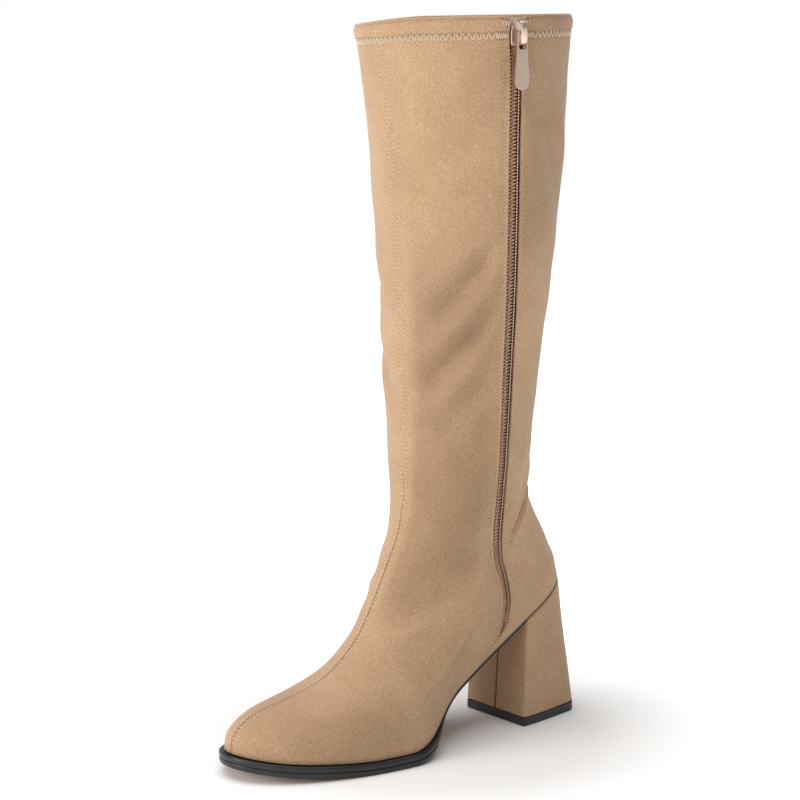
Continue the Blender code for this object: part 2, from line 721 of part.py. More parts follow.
def zip_slider():
    """Metal slider: two plates on a post round the chain, and its bail."""
    frame = slider_frame()
    half, width = 0.5 * SLIDER_LENGTH, 0.5 * SLIDER_WIDTH
    flange = 0.5 * CHAIN_WIDTH + CHAIN_CLEARANCE
    tape_front = WALL + TAPE_GAP
    tape_back = tape_front + TAPE_THICKNESS
    flank = PLATE_FLANK * width
    low, high = PLATE_CORNERS["low"] * half, PLATE_CORNERS["high"] * half
    plate_outline = [(-flank, -half), (flank, -half), (width, low), (width, high),
                     (flank, half), (-flank, half), (-width, high), (-width, low)]
    body = prism("zip_slider", plate_outline, 0.0, SLIDER_PLATE, "Y", frame, "rose_metal")
    behind = -tape_back - SLIDER_GAP
    back_plate = prism("slider_back_plate", plate_outline, behind - SLIDER_PLATE, behind,
                       "Y", frame, "rose_metal")
    helpers = [back_plate]
    for side, left, right in (("back", -width, -flange), ("front", flange, width)):
        outline = box_outline(left, right, -tape_front + SLIDER_GAP, 0.5 * SLIDER_PLATE)
        helpers.append(prism(f"slider_flange_{side}", outline, FLANGE_ENDS["low"] * half,
                             FLANGE_ENDS["high"] * half, "Z", frame, "rose_metal"))
    post = box_outline(-0.5 * POST_WIDTH, 0.5 * POST_WIDTH, half - POST_LENGTH, half - POST_SETBACK)
    helpers.append(prism("slider_post", post, behind - 0.5 * SLIDER_PLATE, 0.5 * SLIDER_PLATE,
                         "Y", frame, "rose_metal"))
    helpers.append(prism("slider_bail", bail_outline(), -0.5 * BAIL_WIDTH, 0.5 * BAIL_WIDTH,
                         "X", frame, "rose_metal"))
    return joined(body, helpers)


def tab_frame():
    """Placement of the pull tab: its bar under the bail, the plate hanging plumb."""
    frame = slider_frame()
    clear = BAIL_HEIGHT - BAIL_THICKNESS
    pivot = frame @ Vector((0.0, SLIDER_PLATE + TAB_HANG * clear, 0.0))
    across = Vector((frame[0][0], frame[1][0], 0.0)).normalized()
    up = Vector((0.0, 0.0, 1.0))
    out = up.cross(across)
    hanging = Matrix((across, out, up)).transposed().to_4x4()
    hanging.translation = pivot
    return hanging


def tab_outline():
    """Front view of the pull tab: a narrow neck that widens to a round end."""
    neck, end = 0.5 * TAB_NECK_WIDTH, 0.5 * TAB_WIDTH
    top = 0.5 * TAB_BAR
    bottom = top - TAB_LENGTH
    shoulder = -TAB_WINDOW_LENGTH - TAB_BAR
    right = [(TAB_HEAD * neck, top), (neck, 0.0), (neck, shoulder)]
    for share in TAB_SHOULDERS:
        ease = share * share * (3 - 2 * share)
        right.append((neck + ease * (end - neck), shoulder + share * (bottom + end - shoulder)))
    for k in range(1, TAB_TIP_STEPS + 1):
        turn = 0.5 * math.pi * k / TAB_TIP_STEPS
        right.append((end * math.cos(turn), bottom + end - end * math.sin(turn)))
    left = [(-x, z) for x, z in right[:-1][::-1]]
    return right + left


def pull_tab():
    """Pull tab with the window that the bail passes through; origin on its bar."""
    identity = Matrix()
    tab = prism("pull_tab", tab_outline(), -0.5 * TAB_THICKNESS, 0.5 * TAB_THICKNESS,
                "Y", identity, "rose_metal")
    half = 0.5 * BAIL_WIDTH + TAB_SIDE_CLEARANCE
    window = box_outline(-half, half, -0.5 * TAB_BAR - TAB_WINDOW_LENGTH, -0.5 * TAB_BAR)
    cutter = prism("tab_window", window, -TAB_THICKNESS, TAB_THICKNESS, "Y", identity, "rose_metal")
    tab.matrix_world = tab_frame()
    cutter.matrix_world = tab_frame()
    return joined(tab, [cutter], "DIFFERENCE")


def main():
    """Clear the scene and make every piece of the boot."""
    for old in list(bpy.data.objects):
        bpy.data.objects.remove(old, do_unlink=True)
    upper()
    insole()
    outsole()
    heel_block()
    heel_top_piece()
    stringer("zip_stringer_front", -1)
    stringer("zip_stringer_back", 1)
    zip_slider()
    pull_tab()


main()
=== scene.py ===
"""Right knee-high suede boot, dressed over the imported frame.

Metres, in the frame's own axes: X to the toe, Y to the inner side and Z up. The
origin is on the floor under the heel, on the boot's long middle line.
"""
import json
import logging
import math
from dataclasses import dataclass, field
from enum import Enum
from functools import cached_property
from typing import Optional, Sequence

import bmesh
import bpy
import numpy as np
from mathutils import Matrix, Vector

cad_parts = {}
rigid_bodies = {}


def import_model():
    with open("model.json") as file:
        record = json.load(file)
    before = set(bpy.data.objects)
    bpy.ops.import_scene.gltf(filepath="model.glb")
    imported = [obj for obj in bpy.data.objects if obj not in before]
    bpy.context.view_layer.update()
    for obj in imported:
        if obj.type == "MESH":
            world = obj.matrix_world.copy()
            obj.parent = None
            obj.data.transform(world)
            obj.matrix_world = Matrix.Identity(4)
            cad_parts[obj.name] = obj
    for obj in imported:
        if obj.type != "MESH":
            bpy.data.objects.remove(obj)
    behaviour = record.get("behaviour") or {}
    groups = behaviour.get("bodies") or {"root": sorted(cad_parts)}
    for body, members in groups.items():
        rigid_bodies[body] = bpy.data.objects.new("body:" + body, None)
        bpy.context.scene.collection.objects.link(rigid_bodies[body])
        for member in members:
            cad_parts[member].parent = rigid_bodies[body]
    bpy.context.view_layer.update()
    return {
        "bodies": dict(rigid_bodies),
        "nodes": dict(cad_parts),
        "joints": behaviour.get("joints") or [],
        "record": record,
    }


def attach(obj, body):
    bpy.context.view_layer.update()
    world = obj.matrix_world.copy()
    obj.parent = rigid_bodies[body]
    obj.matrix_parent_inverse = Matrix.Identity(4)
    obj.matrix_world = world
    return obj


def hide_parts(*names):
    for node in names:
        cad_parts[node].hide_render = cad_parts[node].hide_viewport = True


Array = np.ndarray
Colour = tuple[float, float, float]
Socket = bpy.types.NodeSocket
MM = 0.001
LOG = logging.getLogger("boot")

# Height of the foot's line: station, share of the heel's rise, share of the spring
PROFILE = (
    (0.00, 1.000, 0.00), (0.03, 0.984, 0.00), (0.07, 0.923, 0.00), (0.13, 0.815, 0.00),
    (0.20, 0.683, 0.00), (0.32, 0.457, 0.00), (0.45, 0.196, 0.00), (0.53, 0.053, 0.00),
    (0.60, 0.000, 0.00), (0.70, 0.000, 0.00), (0.80, 0.000, 0.19), (0.90, 0.000, 0.47),
    (1.00, 0.000, 1.00),
)
FOOT_COLUMNS = ("front", "back", "front_rise", "back_rise", "sag", "heel", "waist", "ball", "toe",
                "bend", "back_round", "front_round")
FOOT_SECTIONS = (
    (1.000, 0.000, 0.000, 0.000, 1.00, 0.845, 0.56, 0.985, 0.965, 0.000, 0.13, 0.41),
    (0.998, 0.010, 0.056, 0.065, 0.95, 0.922, 0.61, 0.913, 0.890, 0.009, 0.14, 0.38),
    (0.946, 0.020, 0.139, 0.150, 0.85, 0.973, 0.66, 0.834, 0.796, 0.019, 0.16, 0.40),
    (0.845, 0.038, 0.181, 0.243, 0.70, 0.982, 0.70, 0.754, 0.693, 0.020, 0.19, 0.42),
    (0.741, 0.066, 0.231, 0.370, 0.50, 0.970, 0.72, 0.701, 0.628, 0.020, 0.23, 0.44),
    (0.641, 0.095, 0.358, 0.509, 0.30, 0.970, 0.74, 0.686, 0.610, 0.018, 0.28, 0.46),
    (0.543, 0.113, 0.641, 0.648, 0.15, 1.034, 0.78, 0.704, 0.640, 0.015, 0.36, 0.50),
    (0.499, 0.117, 0.813, 0.819, 0.05, 1.186, 0.83, 0.789, 0.762, 0.013, 0.45, 0.50),
)
SHAFT_COLUMNS = ("rise", "depth", "width", "centre", "bend", "dip")
SHAFT_SECTIONS = (
    (0.000, 0.000, 0.000, 0.0, 0.008, 0.0),
    (0.150, 0.030, 0.255, 1.1, 0.000, 0.0),
    (0.345, 0.210, 0.479, 3.3, 0.000, 0.0),
    (0.575, 0.507, 0.665, 4.4, 0.000, 0.0),
    (0.805, 0.731, 0.830, 3.4, 0.000, 0.0),
    (1.000, 1.000, 1.000, 1.0, 0.000, 1.0),
)
# The zip's line: travel, angle in degrees from the front seam
ZIP_LINE = (
    (0.000, 113.6), (0.009, 114.6), (0.016, 118.6), (0.025, 120.3), (0.050, 120.1), (0.080, 119.0),
    (0.110, 117.5), (0.158, 113.4), (0.216, 104.4), (0.250, 99.8), (0.318, 93.2), (0.438, 85.8),
    (0.570, 81.2), (0.700, 79.2), (0.850, 78.3), (1.000, 78.6),
)
# The slot: travel, half its width in metres
SLOT_LINE = (
    (0.000, 0.00003), (0.010, 0.00005), (0.0135, 0.00030), (0.017, 0.00110), (0.022, 0.00210),
    (0.030, 0.00300), (0.042, 0.0035), (0.935, 0.0035), (0.970, 0.0043), (1.000, 0.0043),
)
# Shares of the foot, from the back, where its half widths at heel, heel, waist, ball and toe are read
INNER_PLACES = (0, 0.20, 0.38, 0.585, 1)
OUTER_PLACES = (0, 0.20, 0.34, 0.550, 1)
# The sole: station, share of its thickness, share of its margin
SOLE_SECTIONS = (
    (0.16, 0.22, 0.10), (0.40, 0.24, 0.10), (0.45, 0.29, 0.14), (0.49, 0.72, 0.55),
    (0.53, 0.95, 0.90), (0.57, 1.00, 1.00), (1.00, 1.00, 1.00),
)


def smoothstep(value: Array) -> Array:
    """Ease from 0 to 1 while the value goes from 0 to 1."""
    share = np.clip(value, 0.0, 1.0)
    return share * share * (3 - 2 * share)


def bell(value: Array) -> Array:
    """Soft bump: 1 at 0, near 0 beyond 2."""
    return np.exp(-np.square(value))


def monotone(stations: Sequence[float], values: Array, at: Array, own: bool = False) -> Array:
    """Read a smooth monotone curve through the columns of a table.

    Args:
        stations: Rising places of the table's rows.
        values: One row per station.
        at: Places to read.
        own: Whether each place has its own column of values.

    Returns:
        One row per place with every column, or one value per place if own.
    """
    x = np.asarray(stations, float)
    y = np.asarray(values, float).reshape(len(x), -1)
    at = np.clip(np.atleast_1d(np.asarray(at, float)), x[0], x[-1])
    step = np.diff(x)[:, None]
    slope = np.diff(y, axis=0) / step
    before, after = slope[:-1], slope[1:]
    w_before = 2 * step[1:] + step[:-1]
    w_after = step[1:] + 2 * step[:-1]
    rising = before * after > 0
    divisor = np.where(rising, w_before * after + w_after * before, 1.0)
    inner = np.where(rising, (w_before + w_after) * before * after / divisor, 0.0)
    tangent = np.vstack([end_slope(step[0], step[1], slope[0], slope[1]), inner,
                         end_slope(step[-1], step[-2], slope[-1], slope[-2])])
    k = np.clip(np.searchsorted(x, at, side="right") - 1, 0, len(x) - 2)
    h = step[k, 0]
    t = (at - x[k]) / h
    if own:
        lane = np.arange(len(at))
        y0, y1, m0, m1 = y[k, lane], y[k + 1, lane], tangent[k, lane], tangent[k + 1, lane]
    else:
        t, h = t[:, None], h[:, None]
        y0, y1, m0, m1 = y[k], y[k + 1], tangent[k], tangent[k + 1]
    return (y0 * (1 + 2 * t) * (1 - t) ** 2 + m0 * h * t * (1 - t) ** 2
            + y1 * t ** 2 * (3 - 2 * t) + m1 * h * t ** 2 * (t - 1))


def end_slope(near_step: Array, far_step: Array, near: Array, far: Array) -> Array:
    """Three-point slope at the end of a table, kept from overshooting."""
    slope = ((2 * near_step + far_step) * near - near_step * far) / (near_step + far_step)
    slope = np.where(slope * near <= 0, 0.0, slope)
    steep = (near * far <= 0) & (np.abs(slope) > 3 * np.abs(near))
    return np.where(steep, 3 * near, slope)


def column(table: Sequence[Sequence[float]], index: int) -> list[float]:
    """One column of a table of rows."""
    return [row[index] for row in table]


def round_end(share: Array) -> Array:
    """Quarter-round outline of an end: 0 at its tip, 1 where it is straight."""
    return np.sqrt(np.maximum(1 - (1 - np.clip(share, 0, 1)) ** 2, 0))


def length_along(points: Array) -> Array:
    """Distance from the first point of a line to each of its points."""
    return np.concatenate([[0.0], np.cumsum(np.linalg.norm(np.diff(points, axis=0), axis=1))])


def unit(vectors: Array) -> Array:
    """Vectors brought to a length of one."""
    return vectors / np.linalg.norm(vectors, axis=-1, keepdims=True)


def ladder(rows: int, across: int, closed: bool = True) -> list[tuple[int, ...]]:
    """Four-cornered faces between rows of points.

    Args:
        rows: Number of rows, one after the other.
        across: Points in each row.
        closed: Whether each row runs round to its first point.

    Returns:
        Faces as indices into the points.
    """
    return [(k * across + j, k * across + (j + 1) % across, (k + 1) * across + (j + 1) % across,
             (k + 1) * across + j)
            for k in range(rows - 1) for j in range(across if closed else across - 1)]


@dataclass(frozen=True)
class BootForm:
    """Outer form of the boot: rings from the sole, travel 0, to the collar, travel 1."""

    foot_length: float = 0.232
    origin_from_back: float = 0.0183
    heel_height: float = 0.0840
    heel_width: float = 0.0578
    ball_width: float = 0.0886
    toe_spring: float = 0.0075
    ankle_front_height: float = 0.1506
    ankle_back_height: float = 0.1783
    ankle_depth: float = 0.0845
    ankle_width: float = 0.0805
    ankle_centre: float = 0.0700
    collar_front_height: float = 0.4110
    collar_back_height: float = 0.4138
    collar_dip: float = 0.0036
    dip_middle: float = math.radians(320)
    dip_reach: float = math.radians(68)
    dip_power: float = 1.4
    collar_depth: float = 0.1220
    collar_width: float = 0.1235
    collar_centre: float = 0.0691
    wall: float = 0.0020
    band_height: float = 0.0078
    band_step: float = 0.0006
    sole_thickness: float = 0.0070
    sole_margin: float = 0.0030
    breast_at_floor: float = 0.0421
    breast_at_seat: float = 0.0386
    top_piece_length: float = 0.0530
    top_piece_width: float = 0.0530
    top_piece_back_width: float = 0.0330
    top_piece_thickness: float = 0.0052
    top_piece_round: float = 0.0090
    side_taper_power: float = 1.3
    outer_fullness: float = 0.055
    bend_start: float = 0.45

    def foot_height(self, station: Array) -> Array:
        """Height of the upper's lower edge at stations along the foot."""
        shares = monotone(column(PROFILE, 0), np.array(PROFILE)[:, 1:], station)
        rise = self.heel_height - self.sole_thickness
        return self.sole_thickness + shares[:, 0] * rise + shares[:, 1] * self.toe_spring

    @cached_property
    def rings(self) -> tuple[Array, Array, float]:
        """Travel of each ring, its sizes in metres, and the way up from sole to collar."""
        rows = []
        ball, heel = 0.5 * self.ball_width, 0.5 * self.heel_width
        toe = self.sole_thickness + self.toe_spring
        for row in FOOT_SECTIONS:
            s = dict(zip(FOOT_COLUMNS, row))
            rows.append((
                s["front"] * self.foot_length, toe + s["front_rise"] * (self.ankle_front_height - toe),
                s["back"] * self.foot_length,
                self.heel_height + s["back_rise"] * (self.ankle_back_height - self.heel_height),
                s["sag"], s["heel"] * heel, s["waist"] * ball, s["ball"] * ball, s["toe"] * ball,
                s["bend"] * self.ball_width, s["back_round"], s["front_round"], 0.0,
            ))
        for row in SHAFT_SECTIONS:
            s = dict(zip(SHAFT_COLUMNS, row))
            depth = self.ankle_depth + s["depth"] * (self.collar_depth - self.ankle_depth)
            half = 0.5 * (self.ankle_width + s["width"] * (self.collar_width - self.ankle_width))
            centre = self.ankle_centre + s["centre"] * (self.collar_centre - self.ankle_centre)
            front = self.ankle_front_height + s["rise"] * (self.collar_front_height - self.ankle_front_height)
            back = self.ankle_back_height + s["rise"] * (self.collar_back_height - self.ankle_back_height)
            rows.append((centre + 0.5 * depth, front, centre - 0.5 * depth, back, 0.0,
                         half, half, half, half, s["bend"] * self.ball_width, 0.5, 0.5,
                         s["dip"] * self.collar_dip))
        rows = np.array(rows)
        front_way = np.hypot(np.diff(rows[:, 0]), np.diff(rows[:, 1]))
        back_way = np.hypot(np.diff(rows[:, 2]), np.diff(rows[:, 3]))
        way = np.concatenate([[0.0], np.cumsum(0.5 * (front_way + back_way))])
        return way / way[-1], rows, way[-1]

    @property
    def way_up(self) -> float:
        """Length from the sole up to the collar."""
        return self.rings[2]

    def face(self, travel: Array, angle: Array) -> Array:
        """Points of the upper's outer form.

        Args:
            travel: Shares of the way up.
            angle: Angles from the front seam round the inner side.

        Returns:
            Points with the shape of the arguments and a last axis of three.
        """
        travel, angle = np.broadcast_arrays(np.asarray(travel, float), np.asarray(angle, float))
        flat = angle.ravel()
        travels, sections, _ = self.rings
        (front_x, front_z, back_x, back_z, sag, heel, waist, ball, toe, bend, back_round, front_round,
         collar_dip) = monotone(travels, sections, travel.ravel()).T
        share = 0.5 * (1 + np.cos(flat))
        fuller = waist + np.clip(sag, 0, 1) * self.outer_fullness * self.ball_width
        inner = monotone(INNER_PLACES, np.array([heel, heel, waist, ball, toe]), share, True)
        outer = monotone(OUTER_PLACES, np.array([heel, heel, fuller, ball, toe]), share, True)
        ends = round_end(share / back_round) * round_end((1 - share) / front_round)
        half = np.where(np.sin(flat) >= 0, inner, -outer) * ends
        straight = self.heel_height + (self.sole_thickness + self.toe_spring - self.heel_height) * share
        dip = self.foot_height(share) - straight
        x = back_x + (front_x - back_x) * share - self.origin_from_back
        y = half + bend * np.clip((share - self.bend_start) / (1 - self.bend_start), 0, 1) ** 2
        z = back_z + (front_z - back_z) * share + sag * dip
        from_dip = (flat - self.dip_middle + math.pi) % (2 * math.pi) - math.pi
        reached = np.clip(from_dip / self.dip_reach, -1, 1)
        z -= collar_dip * np.abs(np.cos(0.5 * math.pi * reached)) ** self.dip_power
        return np.stack([x, y, z], axis=-1).reshape(travel.shape + (3,))

    def outward(self, travel: Array, angle: Array) -> Array:
        """Outward unit normals of the outer form."""
        travel, angle = np.asarray(travel), np.asarray(angle)
        low, high = np.maximum(travel - 0.002, 0.0), np.minimum(travel + 0.002, 1.0)
        around = self.face(travel, angle + 0.004) - self.face(travel, angle - 0.004)
        return unit(np.cross(around, self.face(high, angle) - self.face(low, angle)))

    def per_radian(self, travel: Array, angle: Array) -> Array:
        """Metres round the leg for each radian."""
        gap = self.face(travel, np.asarray(angle) + 0.02) - self.face(travel, np.asarray(angle) - 0.02)
        return np.linalg.norm(gap, axis=-1) / 0.04

    def zip_angle(self, travel: Array) -> Array:
        """Angle of the zip's middle."""
        read = monotone(column(ZIP_LINE, 0), column(ZIP_LINE, 1), np.ravel(travel))
        return np.radians(read[:, 0]).reshape(np.shape(travel))

    def slot_half(self, travel: Array) -> Array:
        """Half the width of the zip's slot."""
        read = monotone(column(SLOT_LINE, 0), column(SLOT_LINE, 1), np.ravel(travel))
        return read[:, 0].reshape(np.shape(travel))

    def beside_zip(self, travel: Array, distance: Array) -> Array:
        """Angles at given distances round the leg from the zip's middle."""
        middle = self.zip_angle(travel)
        return middle + distance / self.per_radian(travel, middle)


@dataclass(frozen=True)
class Fold:
    """Soft trough in the suede, with a ridge on each side.

    Places are (travel, angle in degrees). Width and depth are in metres.
    """

    start: tuple[float, float]
    end: tuple[float, float]
    width: float
    depth: float
    ridge: float = 0.45


FOLDS = (
    Fold((0.690, 68), (0.585, 22), 0.0064, 0.0034, 0.8),
    Fold((0.600, 67), (0.495, 12), 0.0062, 0.0052, 0.8),
    Fold((0.500, 66), (0.450, 33), 0.0062, 0.0014, 0.6),
    Fold((0.243, 93), (0.262, 62), 0.0038, 0.0014, 0.6),
    Fold((0.262, 62), (0.268, 42), 0.0048, 0.0011, 0.6),
    Fold((0.150, 104), (0.075, 92), 0.0050, 0.0015, 0.6),
    Fold((0.206, 74), (0.228, 40), 0.0055, 0.0013, 0.6),
    Fold((0.290, 152), (0.222, 112), 0.0058, 0.0021, 0.7),
    Fold((0.905, 90), (0.720, 128), 0.0080, 0.0021, 0.9),
    Fold((0.330, 180), (0.262, 140), 0.0065, 0.0020, 0.6),
    Fold((0.262, 268), (0.246, 316), 0.0046, 0.0020, 0.6),
    Fold((0.700, 292), (0.600, 338), 0.0070, 0.0018, 0.6),
    Fold((0.600, 288), (0.500, 346), 0.0060, 0.0027, 0.7),
    Fold((0.285, 208), (0.225, 248), 0.0052, 0.0025, 0.6),
    Fold((0.152, 256), (0.080, 266), 0.0042, 0.0018, 0.6),
    Fold((0.205, 285), (0.226, 322), 0.0055, 0.0013, 0.6),
)


@dataclass(frozen=True)
class Skin:
    """The suede's worn surface: the form with its folds, seams and turned edges."""

    form: BootForm
    folds: tuple[Fold, ...] = FOLDS
    shaft_row: float = 0.0021
    vamp_row: float = 0.0014
    slot_rows: tuple[float, ...] = (0.0019, 0.0043)
    back_slot_row: float = 0.0022

    @cached_property
    def measures(self) -> tuple[Array, Array]:
        """Travels, and metres per radian there at the front, the back, the zip, and all round."""
        travel = np.linspace(0, 1, 161)
        turn = np.linspace(0, 2 * math.pi, 181)
        loop = self.form.face(travel[:, None], turn[None, :])
        girth = np.linalg.norm(np.diff(loop, axis=1), axis=-1).sum(axis=1) / (2 * math.pi)
        return travel, np.stack([
            self.form.per_radian(travel, np.zeros_like(travel)),
            self.form.per_radian(travel, np.full_like(travel, math.pi)),
            self.form.per_radian(travel, self.form.zip_angle(travel)), girth], axis=-1)

    def measure(self, travel: Array, which: int) -> Array:
        """Metres per radian at some travels, by column of the measures."""
        at, table = self.measures
        return np.interp(travel, at, table[:, which])

    def seam_row(self, travel: Array) -> Array:
        """Distance of the stitch rows from the front seam."""
        return self.shaft_row + (self.vamp_row - self.shaft_row) * smoothstep((0.42 - travel) / 0.14)

    def distances(self, travel: Array, angle: Array) -> tuple[Array, Array, Array]:
        """Distances round the leg from the front seam, the back seam and the zip's middle."""
        wrapped = np.where(angle > math.pi, angle - 2 * math.pi, angle)
        from_zip = angle - self.form.zip_angle(travel)
        return (wrapped * self.measure(travel, 0), (angle - math.pi) * self.measure(travel, 1),
                from_zip * self.measure(travel, 2))

    def broad(self, travel: Array, angle: Array) -> Array:
        """Height of the folds and of the cloth's slack over the form."""
        girth = self.measure(travel, 3)
        up, round_way = travel * self.form.way_up, angle * girth
        height = np.zeros_like(up)
        for fold in self.folds:
            ends = [np.array([t * self.form.way_up, math.radians(a) * float(self.measure(t, 3))])
                    for t, a in (fold.start, fold.end)]
            line = ends[1] - ends[0]
            along = ((up - ends[0][0]) * line[0] + (round_way - ends[0][1]) * line[1]) / (line @ line)
            held = np.clip(along, 0, 1)
            away = np.hypot(up - ends[0][0] - held * line[0], round_way - ends[0][1] - held * line[1])
            fade = 0.35 + 0.65 * smoothstep(np.minimum(held, 1 - held) / 0.3)
            reach = fold.width * (0.75 + 0.5 * held)
            height += fade * fold.depth * (fold.ridge * bell((away - 2.0 * reach) / (1.1 * reach)) * 0.6
                                           - bell(away / reach))
        slack = (0.00028 * np.sin(up * 96 + 2.1 * np.sin(angle * 2)) * np.sin(angle * 3 + up * 31)
                 + 0.00020 * np.sin(up * 163 + angle * 5 + 1.3) * np.cos(angle * 4 - up * 44))
        _, _, from_zip = self.distances(travel, angle)
        free = smoothstep((np.abs(from_zip) - 0.0035) / 0.011) * smoothstep((travel - 0.012) / 0.05)
        free *= smoothstep((0.965 - travel) / 0.05)
        return (height + slack) * free

    def seams(self, travel: Array, angle: Array) -> Array:
        """Height of the seams, stitched channels and turned edges over the folds."""
        form = self.form
        front, back, from_zip = self.distances(travel, angle)
        vamp = smoothstep((0.42 - travel) / 0.14)
        height = -(0.00010 + 0.00056 * vamp) * bell(front / 0.00042)
        height += (0.00010 + 0.00024 * vamp) * bell((np.abs(front) - 0.0011) / 0.0009)
        height -= 0.00030 * bell((np.abs(front) - self.seam_row(travel)) / 0.00050)
        height -= 0.00025 * bell(back / 0.0004) - 0.00012 * bell((np.abs(back) - 0.0012) / 0.0009)
        edge = np.abs(from_zip) - form.slot_half(travel)
        inside = smoothstep((travel - 0.004) / 0.02)
        height += 0.00030 * inside * bell((edge - 0.0012) / 0.0012)
        rows = np.where(from_zip < 0, 1.0, 0.0)
        for place, share in ((self.slot_rows[0], rows), (self.slot_rows[1], rows),
                             (self.back_slot_row, 1 - rows)):
            height -= 0.00026 * inside * share * bell((edge - place) / 0.00045)
        way = (travel - 1) * form.way_up
        lower = way + form.band_height
        height += 0.5 * form.band_step * smoothstep((lower + 0.0002) / 0.0010)
        height += 0.00050 * np.sin(math.pi * np.clip(lower / form.band_height, 0, 1)) ** 0.7
        height -= 0.00060 * np.square(np.clip((way + 0.0030) / 0.0030, 0, 1))
        height -= 0.00030 * bell((lower + 0.0002) / 0.0006)
        return height

    def sheet(self, travels: Array, angles: Array, depth: Array) -> Array:
        """Rows of points at a depth under the folded form.

        Args:
            travels: Travel of each row.
            angles: Angles by row and column.
            depth: Depth of each point, or of all.

        Returns:
            Points by row and column.
        """
        rows = travels[:, None] + 0 * angles
        height = self.broad(rows, angles) - depth
        return self.form.face(rows, angles) + self.form.outward(rows, angles) * height[..., None]

    def painted_shaft_shade(self, travel: Array, angle: Array) -> Array:
        """Painted shade: darker on the calf before the zip, and high behind it."""
        from_zip = angle - self.form.zip_angle(travel)
        before = smoothstep((angle - 0.07) / 0.25) * smoothstep((-0.05 - from_zip) / 0.35)
        calf = smoothstep((travel - 0.20) / 0.06) * smoothstep((0.78 - travel) / 0.14)
        behind = smoothstep(from_zip / 0.15) * smoothstep((math.pi + 0.4 - angle) / 0.5)
        return 0.29 * before * calf + 0.22 * behind * smoothstep((travel - 0.62) / 0.12)

    def point(self, travel: Array, angle: Array, lift: Array = 0.0) -> tuple[Array, Array]:
        """Points of the suede's face, lifted off it, and the normals there.

        Args:
            travel: Shares of the way up.
            angle: Angles from the front seam.
            lift: Distance off the face.

        Returns:
            Points and unit normals.
        """
        travel, angle = np.broadcast_arrays(np.asarray(travel, float), np.asarray(angle, float))
        normal = self.form.outward(travel, angle)
        height = self.broad(travel, angle) + self.seams(travel, angle) + lift
        return self.form.face(travel, angle) + normal * height[..., None], normal


class Nodes:
    """Adds and links the nodes of one tree."""

    def __init__(self, tree: bpy.types.NodeTree) -> None:
        """Keep the tree that is written to."""
        self.tree = tree

    def add(self, kind: str, values: Optional[dict] = None, **settings: object) -> bpy.types.Node:
        """Add a node.

        Args:
            kind: Blender's type name of the node.
            values: Socket name or index to a constant, or to a socket to link from.
            **settings: Attributes of the node.

        Returns:
            The node.
        """
        node = self.tree.nodes.new(kind)
        for name, value in settings.items():
            setattr(node, name, value)
        for name, value in (values or {}).items():
            if isinstance(value, bpy.types.NodeSocket):
                self.tree.links.new(value, node.inputs[name])
            else:
                node.inputs[name].default_value = value
        return node

    def noise(self, vector: Socket, scale: float, detail: float = 2.0, rough: float = 0.5,
              warp: float = 0.0) -> Socket:
        """Value of a noise texture."""
        node = self.add("ShaderNodeTexNoise", {"Vector": vector, "Scale": scale, "Detail": detail,
                                               "Roughness": rough, "Distortion": warp})
        return node.outputs["Fac"]

    def maths(self, operation: str, first: object, second: object = 0.0) -> Socket:
        """Result of one sum."""
        return self.add("ShaderNodeMath", {0: first, 1: second}, operation=operation).outputs[0]

    def weighted(self, *parts: tuple[Socket, float]) -> Socket:
        """Sum of values, each times its weight."""
        shares = [self.maths("MULTIPLY", value, weight) for value, weight in parts]
        total = shares[0]
        for share in shares[1:]:
            total = self.maths("ADD", total, share)
        return total

    def spread(self, value: Socket, low: float, high: float, to_low: float = 0.0,
               to_high: float = 1.0) -> Socket:
        """Value taken from one range to another and kept inside it."""
        node = self.add("ShaderNodeMapRange", {"Value": value, "From Min": low, "From Max": high,
                                               "To Min": to_low, "To Max": to_high})
        return node.outputs["Result"]

    def blend(self, share: object, first: object, second: object) -> Socket:
        """Colour mixed from two."""
        node = self.add("ShaderNodeMix", data_type="RGBA", blend_type="MIX")
        for index, value in ((0, share), (6, first), (7, second)):
            if isinstance(value, bpy.types.NodeSocket):
                self.tree.links.new(value, node.inputs[index])
            else:
                node.inputs[index].default_value = value if index == 0 else (*value[:3], 1.0)
        return node.outputs[2]


def open_group(name: str, inputs: dict[str, float], outputs: Sequence[str]) -> tuple[
        bpy.types.NodeTree, Nodes, bpy.types.Node, bpy.types.Node]:
    """Start a shader node group.

    Args:
        name: Name of the group.
        inputs: Socket names with their values; Vector is a vector socket.
        outputs: Names of the value sockets it puts out.

    Returns:
        The tree, its Nodes and its input and output nodes.
    """
    tree = bpy.data.node_groups.new(name, "ShaderNodeTree")
    for label, value in inputs.items():
        kind = "NodeSocketVector" if label == "Vector" else "NodeSocketFloat"
        made = tree.interface.new_socket(name=label, in_out="INPUT", socket_type=kind)
        if label != "Vector":
            made.default_value = value
    for label in outputs:
        tree.interface.new_socket(name=label, in_out="OUTPUT", socket_type="NodeSocketFloat")
    nodes = Nodes(tree)
    return tree, nodes, nodes.add("NodeGroupInput"), nodes.add("NodeGroupOutput")


